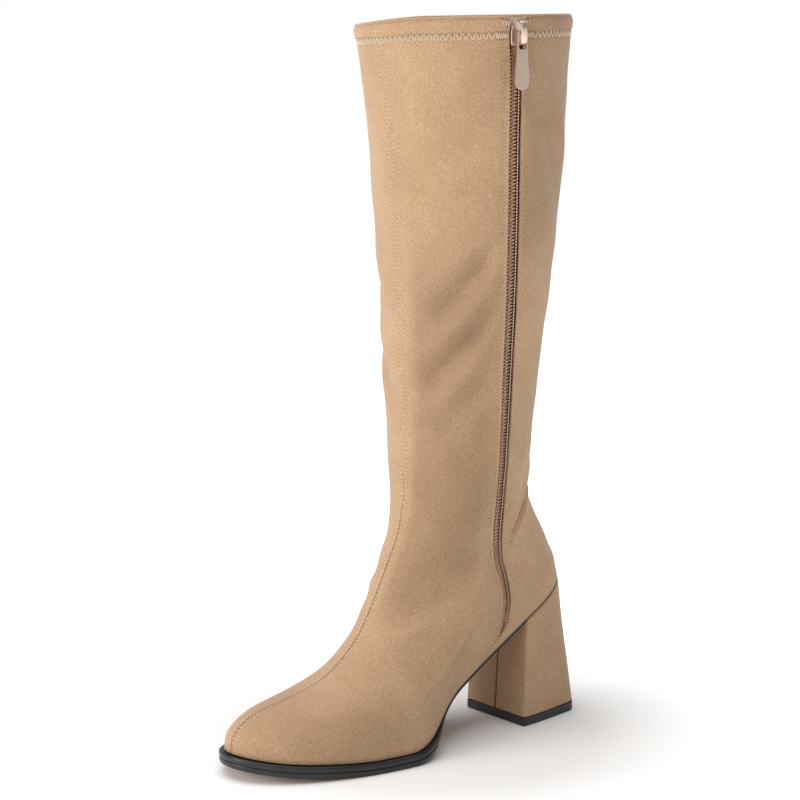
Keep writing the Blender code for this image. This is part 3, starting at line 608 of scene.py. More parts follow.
def nap_group() -> bpy.types.NodeTree:
    """Nap of brushed suede: soft blotches, a fine speckle and slanting fibre strokes."""
    tree, nodes, given, out = open_group(
        "nap_grain", {"Vector": 0.0, "Fibre": 1700.0, "Blotch": 30.0}, ("Shade", "Height"))
    vector = given.outputs["Vector"]
    soft = nodes.noise(vector, 30.0, 4.0, 0.55, 0.4)
    nodes.tree.links.new(given.outputs["Blotch"], soft.node.inputs["Scale"])
    middle = nodes.noise(vector, 1000.0, 2.0, 0.6)
    speckle = nodes.noise(vector, 1700.0, 2.0, 0.6)
    nodes.tree.links.new(given.outputs["Fibre"], speckle.node.inputs["Scale"])
    turned = nodes.add("ShaderNodeMapping", {"Vector": vector, "Rotation": (0.5, 0.35, 0.3),
                                             "Scale": (2000.0, 2000.0, 700.0)})
    stroke = nodes.noise(turned.outputs["Vector"], 1.0, 2.0, 0.6)
    weights = ((soft, 0.17), (middle, 0.25), (speckle, 0.31), (stroke, 0.27))
    shade = nodes.weighted(*((nodes.spread(value, 0.34, 0.66), weight) for value, weight in weights))
    height = nodes.weighted((speckle, 0.45), (stroke, 0.55))
    nodes.tree.links.new(shade, out.inputs["Shade"])
    nodes.tree.links.new(height, out.inputs["Height"])
    return tree


def weave_group() -> bpy.types.NodeTree:
    """Plain weave of crossing yarns."""
    tree, nodes, given, out = open_group("plain_weave", {"Vector": 0.0, "Yarns": 1800.0},
                                         ("Yarn", "Height"))
    split = nodes.add("ShaderNodeSeparateXYZ", {"Vector": given.outputs["Vector"]})
    yarns = given.outputs["Yarns"]
    across = nodes.maths("MULTIPLY", nodes.maths("ADD", split.outputs["X"], split.outputs["Y"]), yarns)
    upward = nodes.maths("MULTIPLY", split.outputs["Z"], yarns)
    cross = nodes.maths("MULTIPLY", nodes.maths("SINE", across), nodes.maths("SINE", upward))
    ragged = nodes.noise(given.outputs["Vector"], 900.0, 2.0)
    yarn = nodes.spread(cross, -1.0, 1.0)
    height = nodes.maths("ADD", yarn, nodes.maths("MULTIPLY", ragged, 0.5))
    nodes.tree.links.new(yarn, out.inputs["Yarn"])
    nodes.tree.links.new(height, out.inputs["Height"])
    return tree


def scuff_group() -> bpy.types.NodeTree:
    """Wear on a hard skin: cloudy dullness, fine scratches and a fine grain."""
    tree, nodes, given, out = open_group("scuffed_skin", {"Vector": 0.0, "Grain": 2600.0, "Cloud": 60.0},
                                         ("Wear", "Height"))
    vector = given.outputs["Vector"]
    cloud = nodes.noise(vector, 60.0, 3.0, 0.6)
    nodes.tree.links.new(given.outputs["Cloud"], cloud.node.inputs["Scale"])
    grain = nodes.noise(vector, 2600.0, 1.0)
    nodes.tree.links.new(given.outputs["Grain"], grain.node.inputs["Scale"])
    drawn = nodes.add("ShaderNodeMapping", {"Vector": vector, "Rotation": (0.2, 0.1, 0.6),
                                            "Scale": (260.0, 4200.0, 3000.0)})
    scratch = nodes.noise(drawn.outputs["Vector"], 1.0, 1.0)
    wear = nodes.weighted((nodes.spread(cloud, 0.35, 0.7), 0.7), (nodes.spread(scratch, 0.62, 0.8), 0.3))
    height = nodes.weighted((grain, 0.7), (scratch, 0.3))
    nodes.tree.links.new(wear, out.inputs["Wear"])
    nodes.tree.links.new(height, out.inputs["Height"])
    return tree


class Effect(Enum):
    """Node groups that more than one finish uses."""

    NAP = "nap_grain"
    WEAVE = "plain_weave"
    SCUFF = "scuffed_skin"

    def tree(self) -> bpy.types.NodeTree:
        """The group, built on its first use."""
        makers = {"nap_grain": nap_group, "plain_weave": weave_group, "scuffed_skin": scuff_group}
        return bpy.data.node_groups.get(self.value) or makers[self.value]()


@dataclass(frozen=True)
class Finish:
    """Look of one stuff: three colours, an effect and the shader's constants.

    The effect's first output goes from deep to pale, and its second drives bump.
    """

    name: str
    deep: Colour
    body: Colour
    pale: Colour
    effect: Effect
    settings: tuple[tuple[str, float], ...] = ()
    roughness: tuple[float, float] = (0.85, 0.95)
    metallic: float = 0.0
    specular: float = 0.2
    sheen: float = 0.0
    sheen_roughness: float = 0.5
    coat: float = 0.0
    bump: float = 0.3
    bump_depth: float = 0.0003
    # Whether the mesh's painted shade attribute darkens the colour.
    painted_shading: bool = False

    def material(self) -> bpy.types.Material:
        """The material, made on its first use."""
        made = bpy.data.materials.get(self.name)
        if made:
            return made
        made = bpy.data.materials.new(self.name)
        made.use_nodes = True
        nodes = Nodes(made.node_tree)
        shader = made.node_tree.nodes["Principled BSDF"]
        place = nodes.add("ShaderNodeTexCoord")
        effect = nodes.add("ShaderNodeGroup", node_tree=self.effect.tree())
        made.node_tree.links.new(place.outputs["Object"], effect.inputs["Vector"])
        for label, value in self.settings:
            effect.inputs[label].default_value = value
        shade, height = effect.outputs[0], effect.outputs[1]
        colour = nodes.blend(nodes.spread(shade, 0.0, 0.5), self.deep, self.body)
        colour = nodes.blend(nodes.spread(shade, 0.5, 1.0), colour, self.pale)
        # Painted shade: the colour goes towards a dark copy of deep as the mesh's painted shade attribute
        # rises.
        if self.painted_shading:
            painted_shade = nodes.add("ShaderNodeAttribute", attribute_name="painted_shade").outputs["Fac"]
            colour = nodes.blend(painted_shade, colour, tuple(0.35 * c for c in self.deep))
        links = made.node_tree.links
        links.new(colour, shader.inputs["Base Color"])
        links.new(nodes.spread(shade, 0.0, 1.0, *self.roughness), shader.inputs["Roughness"])
        bump = nodes.add("ShaderNodeBump", {"Height": height, "Strength": self.bump,
                                            "Distance": self.bump_depth})
        links.new(bump.outputs["Normal"], shader.inputs["Normal"])
        for label, value in (("Metallic", self.metallic), ("Specular IOR Level", self.specular),
                             ("Sheen Weight", self.sheen), ("Sheen Roughness", self.sheen_roughness),
                             ("Coat Weight", self.coat)):
            shader.inputs[label].default_value = value
        shader.inputs["Sheen Tint"].default_value = (0.95, 0.88, 0.80, 1.0)
        made.diffuse_color = (*self.body, 1.0)
        return made


SUEDE = Finish("camel_suede", (0.285, 0.172, 0.095), (0.430, 0.273, 0.159), (0.620, 0.422, 0.266), Effect.NAP,
               roughness=(0.88, 0.98), specular=0.12, sheen=0.3, sheen_roughness=0.5, bump=0.7,
               bump_depth=0.0005, painted_shading=True)
HEEL_SUEDE = Finish("heel_cover_suede", (0.270, 0.162, 0.090), (0.415, 0.262, 0.152), (0.610, 0.412, 0.256),
                    Effect.NAP, roughness=(0.88, 0.98), specular=0.12, sheen=0.3, sheen_roughness=0.5,
                    bump=0.7, bump_depth=0.0005, painted_shading=True)
LINING = Finish("beige_lining", (0.42, 0.31, 0.21), (0.52, 0.40, 0.28), (0.60, 0.48, 0.35), Effect.WEAVE,
                (("Yarns", 2600.0),), (0.8, 0.9), bump=0.4, bump_depth=0.0002)
INSOLE = Finish("footbed_cloth", (0.40, 0.27, 0.16), (0.50, 0.35, 0.22), (0.58, 0.43, 0.29), Effect.WEAVE,
                (("Yarns", 3400.0),), (0.6, 0.75), specular=0.3, bump=0.35, bump_depth=0.0002)
CREAM_THREAD = Finish("cream_thread", (0.50, 0.37, 0.25), (0.66, 0.52, 0.385), (0.82, 0.69, 0.54),
                      Effect.WEAVE, (("Yarns", 9000.0),), (0.5, 0.65), specular=0.35, sheen=0.2,
                      bump=0.5, bump_depth=0.0001)
TAN_THREAD = Finish("tan_thread", (0.38, 0.250, 0.155), (0.53, 0.375, 0.245), (0.66, 0.49, 0.345),
                    Effect.WEAVE, (("Yarns", 9000.0),), (0.5, 0.65), specular=0.35, sheen=0.2,
                    bump=0.5, bump_depth=0.0001)
# Painted shade: a dark colour for the shade inside each needle hole.
NEEDLE_HOLE_SHADE = Finish("needle_hole_shade", (0.08, 0.042, 0.022), (0.12, 0.066, 0.036), (0.18, 0.105, 0.060),
                     Effect.NAP)
ZIP_TAPE = Finish("brown_zip_tape", (0.028, 0.015, 0.010), (0.055, 0.031, 0.021), (0.11, 0.068, 0.048),
                  Effect.WEAVE, (("Yarns", 5200.0),), (0.7, 0.85), bump=0.6, bump_depth=0.0002)
TAPE_FILM = Finish("tape_end_film", (0.70, 0.58, 0.54), (0.82, 0.72, 0.68), (0.90, 0.84, 0.80), Effect.WEAVE,
                   (("Yarns", 5200.0),), (0.25, 0.35), specular=0.5, coat=0.4, bump=0.3, bump_depth=0.0001)
ZIP_COIL = Finish("brown_zip_coil", (0.37, 0.215, 0.130), (0.56, 0.345, 0.215), (0.72, 0.49, 0.33),
                  Effect.SCUFF, (("Cloud", 700.0),), (0.28, 0.42), specular=0.5, bump=0.2, bump_depth=0.0001)
ZIP_THREAD = Finish("zip_bead_thread", (0.45, 0.290, 0.185), (0.62, 0.420, 0.275), (0.76, 0.56, 0.40),
                    Effect.WEAVE, (("Yarns", 9000.0),), (0.45, 0.6), specular=0.4, bump=0.4,
                    bump_depth=0.0001)
ROSE_METAL = Finish("rose_gold_plating", (0.66, 0.50, 0.41), (0.73, 0.565, 0.47), (0.80, 0.64, 0.54),
                    Effect.SCUFF, (("Grain", 5200.0), ("Cloud", 60.0)), (0.30, 0.38), metallic=1.0,
                    specular=0.5, bump=0.02, bump_depth=0.00005)
SOLE_RUBBER = Finish("black_sole_edge", (0.009, 0.009, 0.011), (0.015, 0.015, 0.018), (0.030, 0.030, 0.034),
                     Effect.SCUFF, (("Cloud", 45.0),), (0.30, 0.46), specular=0.5, bump=0.12,
                     bump_depth=0.0002)
TOP_PIECE_RUBBER = Finish("black_top_piece", (0.016, 0.016, 0.018), (0.026, 0.026, 0.029),
                          (0.045, 0.045, 0.049), Effect.SCUFF, (("Cloud", 80.0),), (0.42, 0.58),
                          specular=0.45, bump=0.2, bump_depth=0.0002)
BOTTOM_RUBBER = Finish("brown_sole_bottom", (0.20, 0.085, 0.035), (0.29, 0.130, 0.058), (0.38, 0.19, 0.09),
                       Effect.SCUFF, (("Cloud", 30.0),), (0.45, 0.65), specular=0.4, bump=0.25,
                       bump_depth=0.0002)
FLOOR = Finish("studio_floor", (0.86, 0.86, 0.86), (0.88, 0.88, 0.88), (0.90, 0.90, 0.90), Effect.SCUFF,
               (("Cloud", 2.0), ("Grain", 60.0)), (0.85, 0.95), specular=0.1, bump=0.0)


@dataclass
class Draft:
    """Mesh in the making: points, faces and the finish of each face."""

    points: list[Array] = field(default_factory=list)
    faces: list[tuple[int, ...]] = field(default_factory=list)
    slots: list[int] = field(default_factory=list)
    count: int = 0

    def add(self, points: Array, faces: Sequence[Sequence[int]], slot: int = 0) -> int:
        """Add points and faces that count from the first of them.

        Args:
            points: New points.
            faces: Faces as indices into the new points.
            slot: Material slot of the faces.

        Returns:
            Index of the first new point.
        """
        first = self.count
        self.points.append(np.asarray(points, float).reshape(-1, 3))
        self.count += len(self.points[-1])
        self.faces.extend(tuple(int(i) + first for i in face) for face in faces)
        self.slots.extend([slot] * len(faces))
        return first

    def tube(self, path: Array, side: Array, up: Array, width: Array, height: Array, sides: int = 6,
             slot: int = 0) -> None:
        """Add a closed tube along a path.

        Args:
            path: Points of the middle line.
            side: Unit vectors across it.
            up: Unit vectors square to it and to side.
            width: Half width at each point.
            height: Half height at each point.
            sides: Corners of the section.
            slot: Material slot.
        """
        turn = np.linspace(0, 2 * math.pi, sides, endpoint=False)
        wide = np.broadcast_to(width, len(path))[:, None, None]
        high = np.broadcast_to(height, len(path))[:, None, None]
        rings = (path[:, None] + side[:, None] * np.cos(turn)[None, :, None] * wide
                 + up[:, None] * np.sin(turn)[None, :, None] * high)
        faces = [tuple(range(sides))[::-1], tuple(range((len(path) - 1) * sides, len(path) * sides))]
        self.add(rings, faces + ladder(len(path), sides), slot)

    def stack(self, rings: Array) -> None:
        """Add a closed body of stacked loops that mirror about their first point."""
        layers, around = rings.shape[:2]
        faces = ladder(layers, around)
        for start in (0, (layers - 1) * around):
            for j in range(around // 2):
                corners = (start + j, start + j + 1, start + (around - j - 1) % around,
                           start + (around - j) % around)
                faces.append(tuple(dict.fromkeys(corners)))
        self.add(rings, [f for f in faces if len(f) > 2])

    def prism(self, outline: Sequence[tuple[float, float]], low: float, high: float, axis: str,
              frame: Matrix) -> None:
        """Add an outline drawn out along one axis of a frame."""
        order = {"X": (2, 0, 1), "Y": (0, 2, 1), "Z": (0, 1, 2)}[axis]
        points = [frame @ Vector([(a, b, level)[i] for i in order])
                  for level in (low, high) for a, b in outline]
        count = len(outline)
        faces = [tuple(range(count)), tuple(range(count, 2 * count))] + ladder(2, count)
        self.add(np.array([tuple(p) for p in points]), faces)

    def piece(self, name: str, finishes: Sequence[Finish], painted_shading: Optional[Array] = None,
              sharp: float = 180.0, bevel: float = 0.0) -> bpy.types.Object:
        """Make the object.

        Args:
            name: Name of the piece.
            finishes: Finish of each slot.
            painted_shading: Painted shade of each point, 0 to 1, that darkens its colour.
            sharp: Angle in degrees over which an edge stays sharp.
            bevel: Radius of the rounding of its edges.

        Returns:
            The object, in the scene.
        """
        mesh = bpy.data.meshes.new(name)
        mesh.from_pydata(np.concatenate(self.points).tolist(), [], self.faces)
        mesh.polygons.foreach_set("material_index", self.slots)
        # Painted shade of each point, kept as an attribute that the material reads.
        if painted_shading is not None:
            layer = mesh.attributes.new("painted_shade", "FLOAT", "POINT")
            layer.data.foreach_set("value", np.asarray(painted_shading, float).ravel())
        shape = bmesh.new()
        shape.from_mesh(mesh)
        bmesh.ops.recalc_face_normals(shape, faces=shape.faces)
        shape.to_mesh(mesh)
        shape.free()
        mesh.shade_smooth()
        if sharp < 180.0:
            mesh.set_sharp_from_angle(angle=math.radians(sharp))
        for finish in finishes:
            mesh.materials.append(finish.material())
        made = bpy.data.objects.new(name, mesh)
        bpy.context.scene.collection.objects.link(made)
        if bevel:
            edge = made.modifiers.new("rounded_edges", "BEVEL")
            edge.width, edge.segments = bevel, 4
            edge.limit_method, edge.angle_limit = "ANGLE", math.radians(28)
            edge.harden_normals = False
        LOG.info("%s: %d points, %d faces", name, len(mesh.vertices), len(mesh.polygons))
        return made


def dress(piece: bpy.types.Object, body: str, slot: str, *nodes: str) -> bpy.types.Object:
    """Attach a piece to its body, hide the frame's nodes it stands for, and hand it back."""
    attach(piece, body)
    if nodes:
        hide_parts(*nodes)
    return piece


@dataclass
class Stitcher:
    """Sews thread along lines on the suede."""

    skin: Skin
    thread: float = 0.00026
    arch: float = 0.00022
    sink: float = 0.0003
    hole: float = 0.00048

    def along(self, travel: Array, angle: Array, pitch: float) -> tuple[Array, Array]:
        """Travels and angles at an even pitch along a line on the suede."""
        way = length_along(self.skin.form.face(travel, angle))
        marks = np.linspace(0, way[-1], max(2, int(round(way[-1] / pitch)) + 1))
        return np.interp(marks, way, travel), np.interp(marks, way, angle)

    def sew(self, draft: Draft, travel: Array, angle: Array, cover: float = 0.72, slot: int = 0,
            holes: bool = True, thick: float = 1.0) -> None:
        """Sew one stitch between each pair of neighbouring places.

        Args:
            draft: Mesh to add to.
            travel: Travels of the needle holes.
            angle: Angles of the needle holes.
            cover: Share of the way between holes that the thread shows.
            slot: Material slot of the thread.
            holes: Whether needle holes, dark with painted shade, are added.
            thick: Thickness of the thread as a share of the usual.
        """
        shares = np.array([0.0, 0.14, 0.5, 0.86, 1.0]) * cover + 0.5 * (1 - cover)
        lifts = np.array([-self.sink, 0.6 * self.arch, self.arch, 0.6 * self.arch, -self.sink])
        t = travel[:-1, None] + np.diff(travel)[:, None] * shares
        a = angle[:-1, None] + np.diff(angle)[:, None] * shares
        points, normals = self.skin.point(t, a, lifts)
        radius = self.thread * thick
        width = radius * np.array([0.6, 1, 1.05, 1, 0.6])
        for path, normal in zip(points, normals):
            side = unit(np.cross(np.gradient(path, axis=0), normal))
            draft.tube(path, side, normal, width, radius * 0.9, 6, slot)
        if holes:
            self.holes(draft, travel, angle)

    def holes(self, draft: Draft, travel: Array, angle: Array) -> None:
        """Add a flat pit, dark with painted shade, in the third material slot, at each needle hole."""
        points, normals = self.skin.point(travel, angle, -0.00004)
        turn = np.linspace(0, 2 * math.pi, 6, endpoint=False)
        for point, normal in zip(points, normals):
            one = np.cross(normal, (0.0, 0.3, 1.0))
            one /= np.linalg.norm(one)
            other = np.cross(normal, one)
            rim = point + self.hole * (np.cos(turn)[:, None] * one + np.sin(turn)[:, None] * other)
            ends = [point + normal * 0.00009, point - normal * 0.0004]
            faces = [(j, (j + 1) % 6, 6) for j in range(6)] + [((j + 1) % 6, j, 7) for j in range(6)]
            draft.add(np.vstack([rim, ends]), faces, 2)


@dataclass
class Upper:
    """Suede upper, its lining and all its stitching."""

    skin: Skin
    row_pitch: float = 0.00175
    edge_round: float = 0.0007
    rim_inset: float = 0.0003
    rim_rise: float = 0.0010
    corner_round: float = 0.0026
    corner_reach: float = 0.007
    hem: float = 0.0085
    back_depth: float = 0.00125
    lining_depth: float = 0.00130
    lining_slot: float = 0.0011
    slot_start: float = 0.015
    seam_pitch: float = 0.0024
    slot_pitch: float = 0.0023
    zigzag_pitch: float = 0.0018
    seam_cluster: tuple[float, ...] = (0.0, 0.22, 0.45, 0.75, 1.1, 1.5, 2.0, 2.7, 3.7, 5.0)
    slot_cluster: tuple[float, ...] = (0.0, 0.05, 0.15, 0.32, 0.55, 0.9, 1.3, 1.7, 2.1, 2.6, 3.3, 4.1,
                                       5.0)
    back_cluster: tuple[float, ...] = (0.0, 0.25, 0.5, 0.9, 1.5, 2.5, 4.0)
    middles: tuple[int, int, int] = (48, 30, 84)

    def travels(self) -> Array:
        """Travels of the outer rows, crowded at the band's lower edge."""
        way = self.skin.form.way_up
        even = np.linspace(0, 1, int(way / self.row_pitch))
        low = 1 - self.skin.form.band_height / way
        near = low + np.array([-2.0, -1.2, -0.7, -0.4, -0.15, 0.1, 0.3, 0.5, 0.8, 1.2, 1.8, 2.6]) * MM / way
        even = even[(even < near[0] - 0.001) | (even > near[-1] + 0.001)]
        foot = np.array([0.4, 0.9, 2.6, 4.3, 6.2]) * MM / way
        return np.unique(np.concatenate([even, near, foot]))

    def columns(self, travels: Array) -> tuple[Array, Array, int]:
        """Angles of the columns in each row.

        Args:
            travels: Travels of the rows.

        Returns:
            Angles by row and column, each column's distance from the slot's edge, and the
            index of the last column before the slot.
        """
        form = self.skin.form
        half = form.slot_half(travels)
        before = form.beside_zip(travels, -half)
        behind = form.beside_zip(travels, half)
        clusters = (self.seam_cluster, self.slot_cluster, self.back_cluster)
        seam, slot, back = (np.array(cluster) * MM for cluster in clusters)
        front, rear = np.zeros_like(before), np.full_like(behind, math.pi)
        spans = ((front, before, seam, slot, self.middles[0]),
                 (behind, rear, slot, back, self.middles[1]),
                 (rear, 2 * rear, back, seam, self.middles[2]))
        blocks, edges = [], []
        for number, (start, end, near_start, near_end, middle) in enumerate(spans):
            samples = start[:, None] + (end - start)[:, None] * np.linspace(0, 1, 321)
            points = form.face(travels[:, None], samples)
            steps = np.linalg.norm(np.diff(points, axis=1), axis=-1)
            way = np.concatenate([np.zeros((len(travels), 1)), np.cumsum(steps, axis=1)], axis=1)
            rows, gaps = [], []
            for k in range(len(travels)):
                length = way[k, -1]
                inner = np.linspace(near_start[-1], length - near_end[-1], middle + 2)[1:-1]
                places = np.concatenate([near_start, inner, (length - near_end)[::-1]])
                rows.append(np.interp(places, way[k], samples[k]))
                gaps.append(length - places if number == 0 else places if number == 1
                            else np.full_like(places, 1.0))
            cut = slice(1, -1) if number == 2 else slice(None)
            blocks.append(np.array(rows)[:, cut])
            edges.append(np.array(gaps)[:, cut])
        return np.concatenate(blocks, axis=1), np.concatenate(edges, axis=1), blocks[0].shape[1] - 1

    def outer_face(self) -> tuple[Array, Array, int]:
        """Points of the suede's fine face, with its turned rim and hem.

        Returns:
            Points by row and column, the painted shade of each, and the last column before the slot.
        """
        form, way = self.skin.form, self.skin.form.way_up
        outer = self.travels()
        turn = np.linspace(0, math.pi, 9)[1:]
        rim_middle = 0.5 * (form.wall + self.rim_inset)
        rim_half = 0.5 * (form.wall - self.rim_inset)
        rows = [(t, 0.0, 0.0) for t in outer]
        rows += [(1.0, rim_middle - rim_half * math.cos(a), self.rim_rise * math.sin(a)) for a in turn]
        rows += [(1 - share * self.hem / way, form.wall, 0.0) for share in (0.3, 0.65, 1.0)]
        rows.append((1 - self.hem / way - 0.0006, form.wall - 0.0005, 0.0))
        travels, depths, lifts = np.array(rows).T
        angles, edges, slot = self.columns(travels)
        spread = travels[:, None] + 0 * angles
        fold = round_end(edges / self.edge_round)
        middle = 0.5 * (form.wall - form.band_step)
        centre = np.where(np.arange(len(rows)) < len(outer), smoothstep((travels - 0.002) / 0.016), 1.0)
        centre = middle * centre[:, None]
        seams = self.skin.seams(spread, angles)
        seams[len(outer):] = 0.0
        grid = self.skin.sheet(travels, angles, centre + (depths[:, None] - seams - centre) * fold)
        grid[..., 2] += lifts[:, None] * fold
        corner = self.corner_round - np.sqrt(np.maximum(
            self.corner_round ** 2 - np.clip(self.corner_round - edges, 0, None) ** 2, 0))
        near_top = smoothstep(1 - (1 - travels) * way / self.corner_reach)
        grid[..., 2] -= corner * near_top[:, None]
        # Painted shade: darker in the seams' grooves and stitched channels, where the suede turns under at
        # the slot's edges, along the lowest rows by the sole, and on the calf and high behind the zip.
        painted_shade = np.clip(-seams / 0.0005, 0, 1) * 0.55 + 0.55 * (1 - fold)
        painted_shade += 0.4 * bell(travels / 0.0028)[:, None]
        painted_shade += self.skin.painted_shaft_shade(spread, angles) * np.clip(1 - painted_shade, 0, 1)
        return grid, painted_shade, slot

    def build(self) -> list[bpy.types.Object]:
        """Make the suede, the lining and the stitching."""
        return [self.suede(), self.lining()] + self.stitching()

    def suede(self) -> bpy.types.Object:
        """Closed suede: its fine face, and a plainer back sewn to it along every edge."""
        grid, painted_shade, slot = self.outer_face()
        total, around = grid.shape[:2]
        outer = self.travels()
        start = int(np.searchsorted(outer, self.slot_start))
        faces = [face for n, face in enumerate(ladder(total, around))
                 if n % around != slot or n // around < start]
        keep_rows = [row for row in sorted({*range(0, len(outer) - 8, 4), start})
                     if row == start or abs(row - start) > 2]
        keep_columns = sorted({0, slot, slot + 1, *range(3, slot - 2, 3), *range(slot + 4, around - 2, 3)})
        form = self.skin.form
        travels = outer[keep_rows]
        angles = self.columns(travels)[0][:, keep_columns]
        sides = np.array([{slot: -0.0004, slot + 1: 0.0004}.get(c, 0.0) for c in keep_columns])
        shift = sides / form.per_radian(travels, form.zip_angle(travels))[:, None]
        back = self.skin.sheet(travels, angles + shift * (travels[:, None] > 0.014), self.back_depth)
        back[0, :, 2] = grid[0, keep_columns, 2]
        first = total * around
        wide = len(keep_columns)

        def behind(i: int, j: int) -> int:
            """Index of a point of the back."""
            return first + i * wide + j % wide

        low = keep_rows.index(start)
        slot_at = keep_columns.index(slot)
        for i in range(len(keep_rows) - 1):
            for j in range(wide):
                if j == slot_at and i >= low:
                    continue
                faces.append((behind(i, j), behind(i + 1, j), behind(i + 1, j + 1), behind(i, j + 1)))
        for j in range(wide):
            c0 = keep_columns[j]
            c1 = keep_columns[(j + 1) % wide]
            run = list(range(c0, c1 + 1)) if c1 > c0 else list(range(c0, around)) + [0]
            faces.append((*run, behind(0, j + 1), behind(0, j)))
            if j != slot_at:
                top, end = (total - 1) * around, len(keep_rows) - 1
                faces.append((*(top + c for c in run[::-1]), behind(end, j), behind(end, j + 1)))
        for i in range(low, len(keep_rows)):
            r0 = keep_rows[i]
            r1 = keep_rows[i + 1] if i + 1 < len(keep_rows) else total - 1
            last = i + 1 == len(keep_rows)
            for c, j, turned in ((slot, slot_at, False), (slot + 1, slot_at + 1, True)):
                face = (*(r * around + c for r in range(r0, r1 + 1)),
                        *((behind(i, j),) if last else (behind(i + 1, j), behind(i, j))))
                faces.append(face[::-1] if turned else face)
        corner = start * around + slot
        faces.append((corner, corner + 1, behind(low, slot_at + 1), behind(low, slot_at)))
        draft = Draft()
        draft.add(np.concatenate([grid.reshape(-1, 3), back.reshape(-1, 3)]), faces)
        # Painted shade for each point of the face; none on the back.
        marks = np.concatenate([painted_shade.ravel(), np.zeros(back.shape[0] * wide)])
        return dress(draft.piece("suede_upper", [SUEDE], marks), "boot", "suede", "upper")

    def lining(self) -> bpy.types.Object:
        """Closed sheet of lining cloth against the back of the suede."""
        form = self.skin.form
        top = 1 - (self.hem + 0.0006) / form.way_up
        rows = np.array([0.004, *np.linspace(0.03, top, 150)])
        angles, _, slot = self.columns(rows)
        keep = sorted({0, slot, slot + 1, *range(4, slot - 4, 2), *range(slot + 5, angles.shape[1] - 2, 2)})
        slot_at = keep.index(slot)
        shift = np.zeros(len(keep))
        shift[slot_at], shift[slot_at + 1] = -self.lining_slot, self.lining_slot
        angles = angles[:, keep] + shift / form.per_radian(rows, form.zip_angle(rows))[:, None]
        sheets = [self.skin.sheet(rows, angles, depth) for depth in (self.lining_depth, form.wall)]
        count, wide = len(rows), len(keep)
        faces = []

        def at(sheet: int, i: int, j: int) -> int:
            """Index of a point of one of the two sheets."""
            return (sheet * count + i) * wide + j % wide

        for i in range(count - 1):
            for j in range(wide):
                if j == slot_at and i >= 1:
                    continue
                faces.append((at(0, i, j), at(0, i, j + 1), at(0, i + 1, j + 1), at(0, i + 1, j)))
                faces.append((at(1, i, j), at(1, i + 1, j), at(1, i + 1, j + 1), at(1, i, j + 1)))
        for j in range(wide):
            faces.append((at(0, 0, j), at(1, 0, j), at(1, 0, j + 1), at(0, 0, j + 1)))
            if j != slot_at:
                i = count - 1
                faces.append((at(0, i, j), at(0, i, j + 1), at(1, i, j + 1), at(1, i, j)))
        for i in range(1, count - 1):
            faces.append((at(0, i, slot_at), at(0, i + 1, slot_at), at(1, i + 1, slot_at), at(1, i, slot_at)))
            j = slot_at + 1
            faces.append((at(0, i, j), at(1, i, j), at(1, i + 1, j), at(0, i + 1, j)))
        faces.append((at(0, 1, slot_at), at(0, 1, slot_at + 1), at(1, 1, slot_at + 1), at(1, 1, slot_at)))
        draft = Draft()
        draft.add(np.array(sheets), faces)
        return dress(draft.piece("lining", [LINING]), "boot", "insole_cloth", "upper")

    def stitching(self) -> list[bpy.types.Object]:
        """Sew the front and back seams, the zip's rows and the collar's zigzag."""
        skin, form = self.skin, self.skin.form
        way = form.way_up
        sewer = Stitcher(skin)
        threads = [CREAM_THREAD, TAN_THREAD, NEEDLE_HOLE_SHADE]
        line = np.linspace(0.012, 1 - 0.0032 / way, 900)
        seams = Draft()
        for sign in (-1, 1):
            offset = sign * skin.seam_row(line) / skin.measure(line, 0)
            t, a = sewer.along(line, offset + (0 if sign > 0 else 2 * math.pi), self.seam_pitch)
            sewer.sew(seams, t, a, 0.6, 0, thick=1.1)
            t, a = sewer.along(line, math.pi + sign * 0.0012 / skin.measure(line, 1), self.seam_pitch)
            sewer.sew(seams, t, a, 0.62, 1)
        slots = Draft()
        line = np.linspace(0.020, 1 - (form.band_height + 0.0016) / way, 800)
        for side, place in ((-1, skin.slot_rows[0]), (-1, skin.slot_rows[1]), (1, skin.back_slot_row)):
            away = side * (form.slot_half(line) + place * (0.35 + 0.65 * smoothstep((line - 0.02) / 0.03)))
            t, a = sewer.along(line, form.beside_zip(line, away), self.slot_pitch)
            sewer.sew(slots, t, a, 0.6, 1)
        tail = np.linspace(0.0035, 0.019, 60)
        t, a = sewer.along(tail, form.beside_zip(tail, -0.0016 + 0 * tail), 0.0022)
        sewer.sew(slots, t, a, 0.6, 1)
        drafts = {"seam_stitches": seams, "zip_row_stitches": slots, "collar_stitches": self.zigzag(sewer)}
        return [dress(draft.piece(name, threads), "boot", "suede") for name, draft in drafts.items()]

